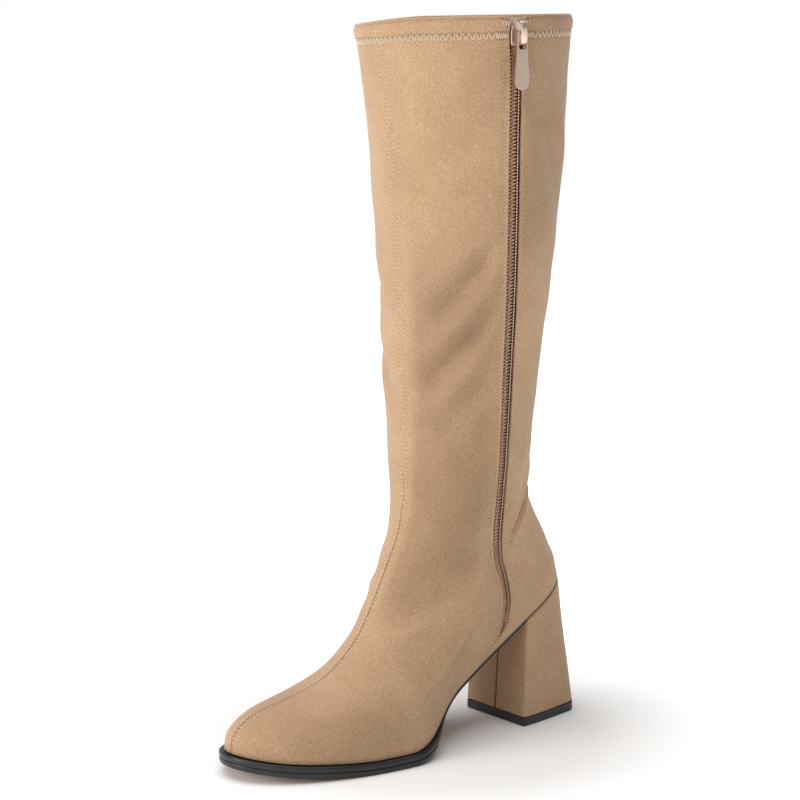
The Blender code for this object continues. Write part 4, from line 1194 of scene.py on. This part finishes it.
    def zigzag(self, sewer: Stitcher) -> Draft:
        """Zigzag under the collar's band, and the tacks beside the zip."""
        form, way = self.skin.form, self.skin.form.way_up
        draft = Draft()
        top = 1 - (form.band_height - 0.0007) / way
        low = 1 - (form.band_height + 0.0040) / way
        half = float(form.slot_half(np.array([top]))[0])
        last, first = form.beside_zip(np.full(2, top), np.array([-half - 0.0065, half + 0.0060]))
        path = np.linspace(first, last + 2 * math.pi, 1200)
        _, a = sewer.along(np.full_like(path, 0.5 * (top + low)), path, self.zigzag_pitch)
        t = np.where(np.arange(len(a)) % 2 == 0, top, low)
        self.legs(sewer, draft, t, a)
        for sign, count, pitch in ((-1, 12, 0.00062), (1, 8, 0.0007)):
            places = sign * (half + 0.0012 + np.arange(count) * pitch)
            a = form.beside_zip(np.full(count, top), places)
            t = np.where(np.arange(count) % 2 == 0, top - 0.0002 / way, low + 0.0004 / way)
            self.legs(sewer, draft, t, a, 0.8)
        for sign, places in ((-1, (0.0010, 0.0024, 0.0042)), (1, (0.0012, 0.0030))):
            for place in places:
                t = np.array([1 - 0.0048 / way, 1 - 0.0012 / way])
                a = form.beside_zip(t, sign * (half + place + np.array([0.0005, 0.0])))
                self.legs(sewer, draft, t, a, 0.8)
        return draft

    def legs(self, sewer: Stitcher, draft: Draft, travel: Array, angle: Array, thick: float = 0.95) -> None:
        """Sew slanting legs one by one, so that none spans the front seam's turn of angle."""
        for k in range(len(travel) - 1):
            pair = np.array([angle[k], angle[k + 1]])
            turns = math.floor(pair.mean() / (2 * math.pi)) * 2 * math.pi
            sewer.sew(draft, travel[k:k + 2], pair - turns, 0.9, 0, False, thick)
        sewer.holes(draft, travel, angle % (2 * math.pi))


@dataclass
class Sole:
    """Outsole with its two beads, and the footbed inside."""

    skin: Skin
    bars: int = 220
    across: int = 18
    seat_gap: float = 0.0005
    groove_pitch: float = 0.0062
    groove_depth: float = 0.0007
    groove_margin: float = 0.0055
    footbed_bars: int = 120
    footbed_across: int = 12
    footbed_gap: float = 0.0013
    footbed_crown: float = 0.0006
    # Section of the edge from the welt down: share of the margin, share of the thickness
    edge: tuple[tuple[float, float], ...] = (
        (0.60, 0.00), (0.78, 0.00), (0.86, 0.02), (0.93, 0.06), (0.985, 0.12), (1.00, 0.20), (1.00, 0.30),
        (0.995, 0.38), (0.97, 0.435), (0.90, 0.465), (0.78, 0.48), (0.78, 0.515), (0.88, 0.53), (0.94, 0.57),
        (0.955, 0.64), (0.955, 0.80), (0.93, 0.89), (0.87, 0.955), (0.78, 1.00),
    )

    def stations(self, rail: Array) -> Array:
        """Stations of a rail's points along the foot."""
        form = self.skin.form
        return np.clip((rail[:, 0] + form.origin_from_back) / form.foot_length, 0, 1)

    def angles(self, last: float, bars: int) -> Array:
        """Angles of the cross-bars from the toe back to a station, even along the edge."""
        end = math.acos(2 * last - 1)
        samples = np.linspace(0, end, 801)
        way = length_along(self.skin.form.face(np.zeros(801), samples))
        measure = 0.75 * way / way[-1] + 0.25 * np.linspace(0, 1, 801)
        return np.interp(np.linspace(0, 1, bars), measure, samples)

    def grown(self, rail: Array, margin: Array) -> Array:
        """Rail moved out in plan by a margin."""
        run = np.gradient(rail[:, :2], axis=0)
        side = unit(np.stack([run[:, 1], -run[:, 0]], axis=-1))
        middle = len(rail) // 2
        side *= np.sign(rail[middle, 1]) * np.sign(side[middle, 1])
        side[0] = (1.0, 0.0)
        made = rail.copy()
        made[:, :2] += side * margin[:, None]
        return made

    def build(self) -> list[bpy.types.Object]:
        """Make the outsole and the footbed."""
        return [self.outsole(), self.footbed()]

    def outsole(self) -> bpy.types.Object:
        """Sole from the toe to the heel's breast, black on its edge and brown below."""
        form = self.skin.form
        angles = self.angles((form.breast_at_seat + 0.0003) / form.foot_length, self.bars)
        rails = [form.face(np.zeros_like(angles), turn) for turn in (angles, 2 * math.pi - angles)]
        table = np.array(SOLE_SECTIONS)
        loops = []
        for out, drop in self.edge:
            sides = []
            for rail in rails:
                thickness, margin = monotone(table[:, 0], table[:, 1:], self.stations(rail)).T
                made = self.grown(rail, margin * form.sole_margin * out)
                line = form.foot_height(self.stations(rail))
                top = line - self.seat_gap
                bottom = np.maximum(line - thickness * form.sole_thickness, 0.0)
                made[:, 2] = top + (bottom - top) * drop
                made[-1, 0] = rail[-1, 0]
                sides.append(made)
            loops.append(np.vstack([sides[0], sides[1][::-1][:-1]]))
        rings = np.array(loops)
        layers, around = rings.shape[:2]
        draft = Draft()
        first = draft.add(rings, ladder(layers, around))
        for layer, slot, tread in ((0, 0, False), (layers - 1, 1, True)):
            crossing = self.plate(draft, rings[layer], first + layer * around, slot, tread)
            end = min(layer, layers - 2) * around + self.bars - 1
            corners = draft.faces[end]
            draft.faces[end] = (corners[:1] + crossing + corners[1:] if layer == 0
                                else corners[:3] + crossing[::-1] + corners[3:])
        made = draft.piece("outsole_body", [SOLE_RUBBER, BOTTOM_RUBBER], sharp=50.0)
        return dress(made, "boot", "sole_rubber", "outsole")

    def plate(self, draft: Draft, loop: Array, first: int, slot: int, tread: bool) -> tuple[int, ...]:
        """Close a loop with a grid across it.

        Args:
            draft: Mesh to add to.
            loop: Points of the loop, from the toe back along the inner side.
            first: Index of the loop's first point.
            slot: Material slot.
            tread: Whether grooves are cut across it.

        Returns:
            Indices of the grid's points along the breast, from the inner side outwards.
        """
        bars, around = self.bars, len(loop)
        inner, outer = loop[1:bars], loop[bars:][::-1]
        shares = np.linspace(0, 1, self.across + 1)[1:-1]
        grid = inner[:, None] * (1 - shares)[None, :, None] + outer[:, None] * shares[None, :, None]
        if tread:
            station = (grid[..., 0] + self.skin.form.origin_from_back) / self.skin.form.foot_length
            edge = np.minimum(shares, 1 - shares) * np.linalg.norm(inner - outer, axis=1)[:, None]
            wave = np.sin((grid[..., 0] + 5.0 * grid[..., 1] ** 2) * 2 * math.pi / self.groove_pitch)
            zone = smoothstep((station - 0.54) / 0.03) * smoothstep((0.955 - station) / 0.02)
            zone *= smoothstep((edge - self.groove_margin) / 0.002)
            grid[..., 2] += self.groove_depth * smoothstep((wave - 0.25) / 0.4) * zone
        count = self.across - 1
        start = draft.add(grid.reshape(-1, 3), [])

        def node(bar: int, place: int) -> int:
            """Index of a crossing of the grid; its first and last places are on the loop."""
            if bar == 0:
                return first
            if place == 0:
                return first + bar
            if place == self.across:
                return first + (around - bar) % around
            return start + (bar - 1) * count + place - 1

        faces = []
        for bar in range(bars - 1):
            for place in range(self.across):
                corners = [node(bar, place), node(bar + 1, place),
                           node(bar + 1, place + 1), node(bar, place + 1)]
                face = tuple(dict.fromkeys(corners))
                if len(face) > 2:
                    faces.append(face)
        draft.faces.extend(faces)
        draft.slots.extend([slot] * len(faces))
        return tuple(node(bars - 1, place) for place in range(1, self.across))

    def footbed(self) -> bpy.types.Object:
        """Crowned footbed inside the wall."""
        form = self.skin.form
        bars, steps = self.footbed_bars, self.footbed_across
        angles = self.angles(0.0, bars)
        inset = form.wall + self.footbed_gap
        loops = []
        for rise, inner_by in ((0.0, 0.0), (0.0012, 0.0), (0.0022, 0.0004), (0.0029, 0.0012)):
            sides = []
            for turn in (angles, 2 * math.pi - angles):
                low, high = (form.face(travel, turn) - form.outward(travel, turn) * inset
                             for travel in (0.0, 1.5 * rise / form.way_up))
                side = np.where(np.abs(high[:, 1:2]) < np.abs(low[:, 1:2]), high, low)
                side = side - form.outward(0.0, turn) * inner_by
                side[:, 2] = form.foot_height(self.stations(side)) + rise
                side[[0, -1], 1] *= 0.0
                sides.append(side)
            loops.append(np.vstack([sides[0], sides[1][::-1][1:-1]]))
        rings = np.array(loops)
        layers, around = rings.shape[:2]
        draft = Draft()
        draft.add(rings, ladder(layers, around))
        shares = np.linspace(0, 1, steps + 1)[1:-1]
        for layer, crown in ((0, 0.0), (layers - 1, self.footbed_crown)):
            loop = rings[layer]
            inner, outer = loop[1:bars - 1], loop[bars:][::-1]
            grid = inner[:, None] * (1 - shares)[None, :, None] + outer[:, None] * shares[None, :, None]
            grid[..., 2] += crown * np.sin(math.pi * shares)
            start = draft.add(grid, [])
            base = layer * around
            rows = [[base + 1 + bar, *range(start + bar * (steps - 1), start + (bar + 1) * (steps - 1)),
                     base + around - 1 - bar] for bar in range(len(inner))]
            faces = [(base, rows[0][k], rows[0][k + 1]) for k in range(steps)]
            faces += [(old[k], new[k], new[k + 1], old[k + 1])
                      for old, new in zip(rows, rows[1:]) for k in range(steps)]
            faces += [(rows[-1][k], base + bars - 1, rows[-1][k + 1]) for k in range(steps)]
            draft.faces.extend(faces)
            draft.slots.extend([0] * len(faces))
        return dress(draft.piece("footbed", [INSOLE]), "boot", "insole_cloth", "insole")


@dataclass
class Heel:
    """Flared heel: its suede cover with the breast's seam, and the rubber top piece."""

    skin: Skin
    around: int = 200
    layers: int = 34
    corner: float = 0.0011
    gap: float = 0.0003
    seat_gap: float = 0.0005
    groove: float = 0.0014
    puff: float = 0.00022
    dent: float = 0.00022
    samples: int = 1200

    def plan(self, share: float, shrink: float = 0.0) -> Array:
        """Closed plan of the heel at a share of its height, from the middle of the breast.

        Args:
            share: 0 at the floor, 1 at the seat.
            shrink: Distance by which the plan is drawn in.

        Returns:
            Points of the loop, with height 0.
        """
        form = self.skin.form
        seat_angle = math.acos(2 * form.breast_at_seat / form.foot_length - 1)
        seat_half = float(form.face(np.zeros(1), np.array([seat_angle]))[0, 1])
        seat_round = FOOT_SECTIONS[0][FOOT_COLUMNS.index("back_round")] * form.foot_length
        floor = np.array([form.breast_at_floor, form.breast_at_floor - form.top_piece_length,
                          0.5 * form.top_piece_width, 0.5 * form.top_piece_back_width, form.top_piece_round])
        seat = np.array([form.breast_at_seat, 0.0, seat_half, seat_half, seat_round])
        drawn_in = shrink * np.array([-1.0, 1.0, -1.0, -1.0, 0.0])
        breast, back, half, back_half, rounding = floor + share * (seat - floor) + drawn_in
        ease = np.sin(np.linspace(0, 0.5 * math.pi, 400))
        x = breast + (back - breast) * ease
        y = (half + (back_half - half) * ease ** form.side_taper_power) * round_end((x - back) / rounding)
        front = np.stack([np.full(200, breast), np.linspace(0, half, 200, endpoint=False)], axis=-1)
        side = np.stack([x, y], axis=-1)
        one = np.vstack([front, side])
        loop = np.vstack([one, (one * (1, -1))[::-1][1:-1]])
        closed = np.vstack([loop, loop[:1]])
        way = length_along(closed)
        marks = np.linspace(0, way[-1], self.samples, endpoint=False)
        even = np.stack([np.interp(marks, way, closed[:, k]) for k in (0, 1)], axis=-1)
        step = way[-1] / self.samples
        reach = int(3 * self.corner / step)
        weights = np.exp(-0.5 * (np.arange(-reach, reach + 1) * step / self.corner) ** 2)
        weights /= weights.sum()
        smooth = sum(w * np.roll(even, k, axis=0) for k, w in zip(range(-reach, reach + 1), weights))
        half_count = self.around // 2
        near = np.array([0.0, 0.2, 0.4, 0.65, 1.0, 1.5, 2.2]) * MM / way[-1]
        half_marks = np.concatenate([near, np.linspace(near[-1], 0.5, half_count - len(near) + 2)[1:]])
        marks = np.concatenate([half_marks, 1 - half_marks[1:-1][::-1]])
        index = np.arange(self.samples + 1) / self.samples
        ring = np.vstack([smooth, smooth[:1]])
        points = np.stack([np.interp(marks, index, ring[:, k]) for k in (0, 1)], axis=-1)
        return np.column_stack([points[:, 0] - form.origin_from_back, points[:, 1], np.zeros(len(points))])

    def build(self) -> list[bpy.types.Object]:
        """Make the covered block and the top piece."""
        return [self.cover(), self.top_piece()]

    def cover(self) -> bpy.types.Object:
        """Suede over the block, closed by a seam down the middle of the breast."""
        form = self.skin.form
        bottom = form.top_piece_thickness + self.gap
        seat = self.plan(1.0)
        station = np.clip((seat[:, 0] + form.origin_from_back) / form.foot_length, 0, 1)
        top = form.foot_height(station) - self.seat_gap
        rows = np.concatenate([[0.0, 0.004, 0.010], np.linspace(0.02, 0.98, self.layers), [0.992, 1.0]])
        rings, marks = [], []
        for share in rows:
            turned = 0.0005 * (1 - smoothstep(np.array(min(share, 1 - share) / 0.008)))
            ring = self.plan(share, float(turned))
            ring[:, 2] = bottom + share * (top - bottom)
            away = np.abs(ring[:, 1])
            front = ring[:, 0] > ring[:, 0].max() - 0.002
            groove = np.where(front, bell(away / 0.0006), 0.0)
            puff = np.where(front, bell((away - 0.0013) / 0.0009), 0.0)
            ring[:, 0] += self.puff * puff - self.groove * groove
            dent = self.dent * np.sin(ring[:, 2] * 130 + ring[:, 1] * 60) * np.sin(ring[:, 0] * 110)
            ring[:, 1] += dent * np.sign(ring[:, 1]) * smoothstep(away / 0.01)
            rings.append(ring)
            # Painted shade: darker in the breast's seam groove and along the top, under the seat.
            marks.append(np.maximum(groove, 0.75 * smoothstep(np.array((share - 0.972) / 0.02))))
        draft = Draft()
        draft.stack(np.array(rings))
        made = draft.piece("heel_cover", [HEEL_SUEDE], np.array(marks), sharp=75.0)
        return dress(made, "boot", "heel_suede", "heel_block")

    def top_piece(self) -> bpy.types.Object:
        """Rubber wear piece with broken edges."""
        rings = []
        for height, shrink in ((1.0, 0.0030), (1.0, 0.0004), (0.985, 0.0), (0.92, 0.0), (0.14, 0.0),
                               (0.05, 0.00015), (0.0, 0.0006), (0.0, 0.0030)):
            ring = self.plan(0.0, shrink)
            ring[:, 2] = height * self.skin.form.top_piece_thickness
            rings.append(ring)
        draft = Draft()
        draft.stack(np.array(rings))
        made = draft.piece("heel_top_piece_rubber", [TOP_PIECE_RUBBER], sharp=50.0)
        return dress(made, "boot", "top_piece_rubber", "heel_top_piece")


@dataclass
class Zip:
    """Coil zip in its slot, its slider and the pull tab."""

    skin: Skin
    tape_gap: float = 0.0005
    tape_thickness: float = 0.0007
    first: float = 0.017
    slider_below_collar: float = 0.0076
    slider_length: float = 0.0145
    slider_width: float = 0.0084
    plate: float = 0.0013
    bail_width: float = 0.0034
    bail_thickness: float = 0.0013
    bail_height: float = 0.0070
    bail_length: float = 0.0142
    bail_square: float = 0.6
    tab_length: float = 0.0315
    tab_width: float = 0.0086
    tab_neck: float = 0.0066
    tab_thickness: float = 0.0014
    tab_bar: float = 0.0014
    tab_window: float = 0.0084
    tab_hang: float = 0.75
    tab_end_round: float = 0.0012
    flange: float = 0.0034
    full_slot: float = 0.0034
    coil_pitch: float = 0.00195
    coil_reach: float = 0.00128
    coil_height: float = 0.00050
    coil_proud: float = 0.00096
    coil_middles: tuple[float, float] = (-0.00182, -0.00022)
    wire: float = 0.00037
    bead_pitch: float = 0.00165
    bead_place: float = 0.00195
    bead_depth: float = 0.00080
    bead_half: tuple[float, float] = (0.00050, 0.00036)
    film_length: float = 0.0056
    film_gap: float = 0.0006
    plate_bite: float = 0.0006
    flange_depth: float = 0.0016
    post_half: float = 0.0011

    def build(self) -> list[bpy.types.Object]:
        """Make the tapes, coils, thread beads, slider and tab."""
        return self.tapes() + self.coils() + [self.beads(), self.slider(), self.tab()]

    def depth(self, travel: Array, across: Array, depth: Array) -> Array:
        """Points at a distance from the zip's middle and a depth under the form."""
        form = self.skin.form
        angle = form.beside_zip(travel, across)
        return form.face(travel, angle) - form.outward(travel, angle) * np.asarray(depth)[..., None]

    def tapes(self) -> list[bpy.types.Object]:
        """Two woven tapes behind the slot, with film on their top ends."""
        form = self.skin.form
        way = form.way_up
        woven = np.linspace(self.first, 1 - (self.film_length + self.film_gap) / way, 150)
        rows = np.concatenate([woven, np.linspace(1 - self.film_length / way, 1 - self.film_gap / way, 5)])
        front = form.wall + self.tape_gap
        across = np.array([0.15, 1.2, 2.4, 3.6, 5.5, 8.0, 10.5, 12.9, 13.0]) * MM
        width = np.concatenate([across, across[::-1]])
        count = len(width)
        deep = np.repeat([front, front + self.tape_thickness], len(across)) + 0 * rows[:, None]
        made = []
        for side, name in ((-1, "front"), (1, "back")):
            points = self.depth(rows[:, None] + 0 * width, side * width + 0 * rows[:, None], deep)
            draft = Draft()
            ends = [tuple(range(count)), tuple(range((len(rows) - 1) * count, len(rows) * count))]
            draft.add(points, ends + ladder(len(rows), count))
            bands = np.repeat(np.arange(len(rows) - 1) >= len(woven) - 1, count)
            draft.slots = [0, 1, *bands.astype(int).tolist()]
            piece = draft.piece(f"zip_tape_{name}", [ZIP_TAPE, TAPE_FILM], sharp=60.0)
            made.append(dress(piece, "boot", "zip_tape", f"zip_stringer_{name}"))
        return made

    def chain(self, first: float, last: float) -> tuple[Array, Array]:
        """Distances along the zip's middle from one travel to another, and their travels."""
        travels = np.linspace(first, last, 500)
        return length_along(self.depth(travels, 0 * travels, 0 * travels)), travels

    def coils(self) -> list[bpy.types.Object]:
        """Two interlocked nylon coils."""
        form = self.skin.form
        made = []
        last = 1 - (self.slider_below_collar + 0.3 * self.slider_length) / form.way_up
        way, travels = self.chain(self.first, last)
        turns = way[-1] / self.coil_pitch
        phase = np.arange(0, turns * 2 * math.pi, 2 * math.pi / 11)
        wound = phase / (2 * math.pi) * self.coil_pitch
        narrow = np.minimum(1, form.slot_half(np.interp(wound, way, travels)) / self.full_slot)
        for name, middle, offset, side in zip(("front", "back"), self.coil_middles, (0.0, math.pi), (1, -1)):
            lateral = narrow * (middle + self.coil_reach * np.cos(phase + offset))
            along = np.interp(wound + 0.28 * lateral, way, travels)
            inward = form.wall + self.tape_gap - self.coil_proud
            path = self.depth(along, lateral, inward + side * self.coil_height * np.sin(phase + offset))
            run = unit(np.gradient(path, axis=0))
            across = unit(np.cross(run, form.outward(along, form.beside_zip(along, lateral))))
            draft = Draft()
            draft.tube(path, across, np.cross(across, run), self.wire, self.wire, 5)
            piece = draft.piece(f"zip_coil_{name}", [ZIP_COIL])
            made.append(dress(piece, "boot", "zip_tape", f"zip_stringer_{name}"))
        return made

    def beads(self) -> bpy.types.Object:
        """Thread that holds each coil to its tape, showing as a row of beads."""
        form = self.skin.form
        last = 1 - (self.slider_below_collar + 0.45 * self.slider_length) / form.way_up
        draft = Draft()
        ease = np.array([-1.0, -0.6, 0.0, 0.6, 1.0])
        size = np.sqrt(1 - (0.93 * ease) ** 2)
        way, travels = self.chain(0.030, last)
        for k in range(1, int(way[-1] / self.bead_pitch)):
            travel = np.interp((k + 0.41 * ease) * self.bead_pitch, way, travels)
            narrow = float(np.minimum(1, form.slot_half(travel[2:3]) / self.full_slot)[0])
            across = np.full(5, self.bead_place * narrow)
            path = self.depth(travel, across, np.full(5, self.bead_depth))
            normal = form.outward(travel, form.beside_zip(travel, across))
            side = unit(np.cross(path[-1] - path[0], normal))
            draft.tube(path, side, normal, *(half * size for half in self.bead_half), 6)
        piece = draft.piece("zip_bead_thread", [ZIP_THREAD])
        return dress(piece, "boot", "zip_tape", "zip_stringer_front", "zip_stringer_back")

    def frame(self) -> Matrix:
        """Placement of the slider: X across to the front, Y outwards, Z up the zip."""
        form = self.skin.form
        travel = np.array([1 - self.slider_below_collar / form.way_up])
        angle = form.zip_angle(travel)
        place = Vector(form.face(travel, angle)[0])
        out = Vector(form.outward(travel, angle)[0])
        along = place - Vector(form.face(travel - 0.01, form.zip_angle(travel - 0.01))[0])
        up = (along - along.dot(out) * out).normalized()
        made = Matrix((out.cross(up), out, up)).transposed().to_4x4()
        made.translation = place
        return made

    def slider(self) -> bpy.types.Object:
        """Plated slider: two plates on a post, with the bail over its front."""
        frame = self.frame()
        half, width = 0.5 * self.slider_length, 0.5 * self.slider_width
        form = self.skin.form
        behind = -(form.wall + self.tape_gap + self.tape_thickness) - 0.0008
        corner, nose = 0.0010, 0.52 * width
        right = [(width - corner, -half), (width - 0.3 * corner, -half + 0.3 * corner),
                 (width, -half + corner), (width, 0.05 * half),
                 (0.93 * width, 0.28 * half), (0.66 * width, 0.80 * half),
                 (nose, 0.93 * half), (0.3 * width, half)]
        outline = right + [(-x, z) for x, z in right[::-1]]
        draft = Draft()
        draft.prism(outline, 0.0, self.plate, "Y", frame)
        draft.prism(outline, behind - self.plate, behind, "Y", frame)
        # Two flanges along the chain, and the post between the plates
        for near, far, deep, low, high in (
                (-width, -self.flange, -self.flange_depth, -0.9 * half, 0.05 * half),
                (self.flange, width, -self.flange_depth, -0.9 * half, 0.05 * half),
                (-self.post_half, self.post_half, behind - self.plate_bite, half - 0.0030, half - 0.0004)):
            box = [(near, deep), (far, deep), (far, self.plate_bite), (near, self.plate_bite)]
            draft.prism(box, low, high, "Z", frame)
        draft.prism(self.bail_outline(), -0.5 * self.bail_width, 0.5 * self.bail_width, "X", frame)
        piece = draft.piece("zip_slider_body", [ROSE_METAL], sharp=35.0, bevel=0.00032)
        return dress(piece, "boot", "zip_metal", "zip_slider")

    def bail_outline(self) -> list[tuple[float, float]]:
        """Side view of the bail: a band bent from the slider's foot to its head."""
        half, steps = 0.5 * self.bail_length, 30
        outer, inner = [], []
        for k in range(steps + 1):
            turn = math.pi * k / steps
            c = math.copysign(abs(math.cos(turn)) ** self.bail_square, math.cos(turn))
            s = math.sin(turn) ** self.bail_square
            outer.append((self.plate + self.bail_height * s, half * c))
            inner.append((self.plate + (self.bail_height - self.bail_thickness) * s,
                          (half - self.bail_thickness) * c))
        root = 0.3 * self.plate
        inside = half - self.bail_thickness
        return [(root, half)] + outer + [(root, -half), (root, -inside)] + inner[::-1] + [(root, inside)]

    def tab(self) -> bpy.types.Object:
        """Pull tab: a narrow neck with its window, widening to a round end."""
        frame = self.frame()
        clear = self.bail_height - self.bail_thickness
        pivot = frame @ Vector((0.0, self.plate + self.tab_hang * clear, 0.0))
        across = Vector((frame[0][0], frame[1][0], 0.0)).normalized()
        up = Vector((0.0, 0.0, 1.0))
        hanging = Matrix((across, up.cross(across), up)).transposed().to_4x4()
        hanging.translation = pivot
        neck, end = 0.5 * self.tab_neck, 0.5 * self.tab_width
        top = 0.5 * self.tab_bar
        bottom = top - self.tab_length
        shoulder = -self.tab_window - self.tab_bar
        right = [(0.45 * neck, top), (0.8 * neck, 0.6 * top), (neck, -0.4 * top), (neck, shoulder)]
        for share in np.linspace(0.1, 1.0, 10):
            wide = neck + float(smoothstep(share)) * (end - neck)
            right.append((wide, shoulder + share * (bottom + end - shoulder)))
        for turn in np.linspace(0, 0.5 * math.pi, 13)[1:]:
            right.append((end * math.cos(turn), bottom + end - end * math.sin(turn)))
        outline = right + [(-x, z) for x, z in right[:-1][::-1]]
        half, rounding = 0.5 * self.bail_width + 0.0005, self.tab_end_round
        low, high = rounding - 0.5 * self.tab_bar - self.tab_window, -0.5 * self.tab_bar
        window = [(-half, low), (-half, high), (half, high), (half, low)]
        window += [(half * math.cos(a), low - rounding * math.sin(a))
                   for a in np.linspace(0, math.pi, 9)[1:-1]]
        shape = bmesh.new()
        edges = []
        for loop in (outline, window):
            corners = [shape.verts.new((x, -0.5 * self.tab_thickness, z)) for x, z in loop]
            edges += [shape.edges.new((corners[k - 1], corners[k])) for k in range(len(corners))]
        bmesh.ops.triangle_fill(shape, use_beauty=True, use_dissolve=False, edges=edges)
        grown = bmesh.ops.extrude_face_region(shape, geom=shape.faces[:])
        moved = [v for v in grown["geom"] if isinstance(v, bmesh.types.BMVert)]
        bmesh.ops.translate(shape, verts=moved, vec=(0, self.tab_thickness, 0))
        bmesh.ops.transform(shape, matrix=hanging, verts=shape.verts)
        bmesh.ops.recalc_face_normals(shape, faces=shape.faces)
        shape.verts.index_update()
        draft = Draft()
        draft.add(np.array([tuple(v.co) for v in shape.verts]),
                  [[v.index for v in f.verts] for f in shape.faces])
        shape.free()
        piece = draft.piece("pull_tab_plate", [ROSE_METAL], sharp=35.0, bevel=0.00042)
        return dress(piece, "tab", "zip_metal", "pull_tab")


@dataclass
class Studio:
    """Pale floor, soft lights and the camera at the photograph's angle."""

    azimuth: float = math.radians(141.84)
    elevation: float = math.radians(8.94)
    distance: float = 1.312
    lens: float = 103.98
    target: tuple[float, float, float] = (0.0930, -0.0036, 0.1980)

    def axes(self) -> tuple[Vector, Vector, Vector]:
        """Unit vectors to the picture's right, its top and the viewer."""
        a, e = self.azimuth, self.elevation
        back = Vector((math.sin(a) * math.cos(e), -math.cos(a) * math.cos(e), math.sin(e)))
        right = Vector((math.cos(a), math.sin(a), 0.0))
        return right, back.cross(right), back

    def build(self) -> None:
        """Make the camera, the lights and the floor."""
        right, up, back = self.axes()
        target = Vector(self.target)
        camera = bpy.data.objects.new("camera", bpy.data.cameras.new("camera"))
        camera.data.sensor_width, camera.data.lens = 36.0, self.lens
        camera.data.clip_start, camera.data.clip_end = 0.05, 50.0
        camera.matrix_world = Matrix((right, up, back)).transposed().to_4x4()
        camera.matrix_world.translation = target + self.distance * back
        bpy.context.scene.collection.objects.link(camera)
        bpy.context.scene.camera = camera
        level = Vector((back.x, back.y, 0)).normalized()
        high = Vector((0, 0, 1))
        for name, place, size, power, colour in (
            ("key", -2.3 * right + 1.3 * level + 0.7 * high, 1.4, 31.0, (1.0, 0.98, 0.96)),
            ("top", -0.3 * right + 0.3 * level + 2.6 * high, 3.0, 62.0, (1.0, 0.99, 0.98)),
        ):
            lamp = bpy.data.objects.new(name, bpy.data.lights.new(name, "AREA"))
            lamp.data.shape, lamp.data.size, lamp.data.energy, lamp.data.color = "SQUARE", size, power, colour
            lamp.location = target + place
            lamp.rotation_euler = place.to_track_quat("Z", "Y").to_euler()
            bpy.context.scene.collection.objects.link(lamp)
        self.floor()
        self.surround(right, level)
        bpy.context.scene.view_settings.view_transform = "Standard"

    def surround(self, right: Vector, level: Vector) -> None:
        """White backdrop for the camera, and soft light that comes mostly from the left."""
        world = bpy.data.worlds.new("studio")
        world.use_nodes = True
        nodes = Nodes(world.node_tree)
        background = world.node_tree.nodes["Background"]
        direction = nodes.add("ShaderNodeTexCoord").outputs["Generated"]
        bright_side = tuple(-0.85 * right + 0.5 * level)
        facing = nodes.add("ShaderNodeVectorMath", {0: direction, 1: bright_side}, operation="DOT_PRODUCT")
        soft = nodes.spread(facing.outputs["Value"], -1.0, 1.0, 0.12, 0.68)
        seen = nodes.add("ShaderNodeLightPath").outputs["Is Camera Ray"]
        strength = nodes.add("ShaderNodeMix", {0: seen, 2: soft, 3: 1.0})
        world.node_tree.links.new(strength.outputs[0], background.inputs["Strength"])
        background.inputs["Color"].default_value = (1.0, 1.0, 1.0, 1.0)
        bpy.context.scene.world = world

    def floor(self) -> None:
        """Plain pale floor that glows more away from the boot, so that it fades to white there."""
        steps = np.concatenate([[-6.0, -2.0], np.linspace(-1.0, 1.0, 9), [2.0, 6.0]])
        points = [(x, y, -0.00005) for y in steps for x in steps]
        draft = Draft()
        draft.add(np.array(points), ladder(len(steps), len(steps), closed=False))
        piece = draft.piece("studio_floor", [FLOOR])
        tree = piece.data.materials[0].node_tree
        nodes = Nodes(tree)
        place = nodes.add("ShaderNodeTexCoord").outputs["Object"]
        away = nodes.add("ShaderNodeVectorMath", {0: place, 1: (0.08, 0.0, 0.0)}, operation="DISTANCE")
        # Painted light: the floor glows from 0.10 m round the boot, up to 0.7 beyond 0.28 m.
        glow = nodes.spread(away.outputs["Value"], 0.10, 0.28, 0.0, 0.7)
        shader = tree.nodes["Principled BSDF"]
        tree.links.new(glow, shader.inputs["Emission Strength"])
        shader.inputs["Emission Color"].default_value = (1.0, 1.0, 1.0, 1.0)


def main() -> None:
    """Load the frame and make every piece."""
    logging.basicConfig(level=logging.INFO, format="%(name)s: %(message)s")
    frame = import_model()
    LOG.info("frame with %d nodes", len(frame["nodes"]))
    skin = Skin(BootForm())
    Studio().build()
    for assembly in (Upper(skin), Sole(skin), Heel(skin), Zip(skin)):
        pieces = assembly.build()
        LOG.info("%s: %s", type(assembly).__name__, ", ".join(piece.name for piece in pieces))


if __name__ == "__main__":
    main()
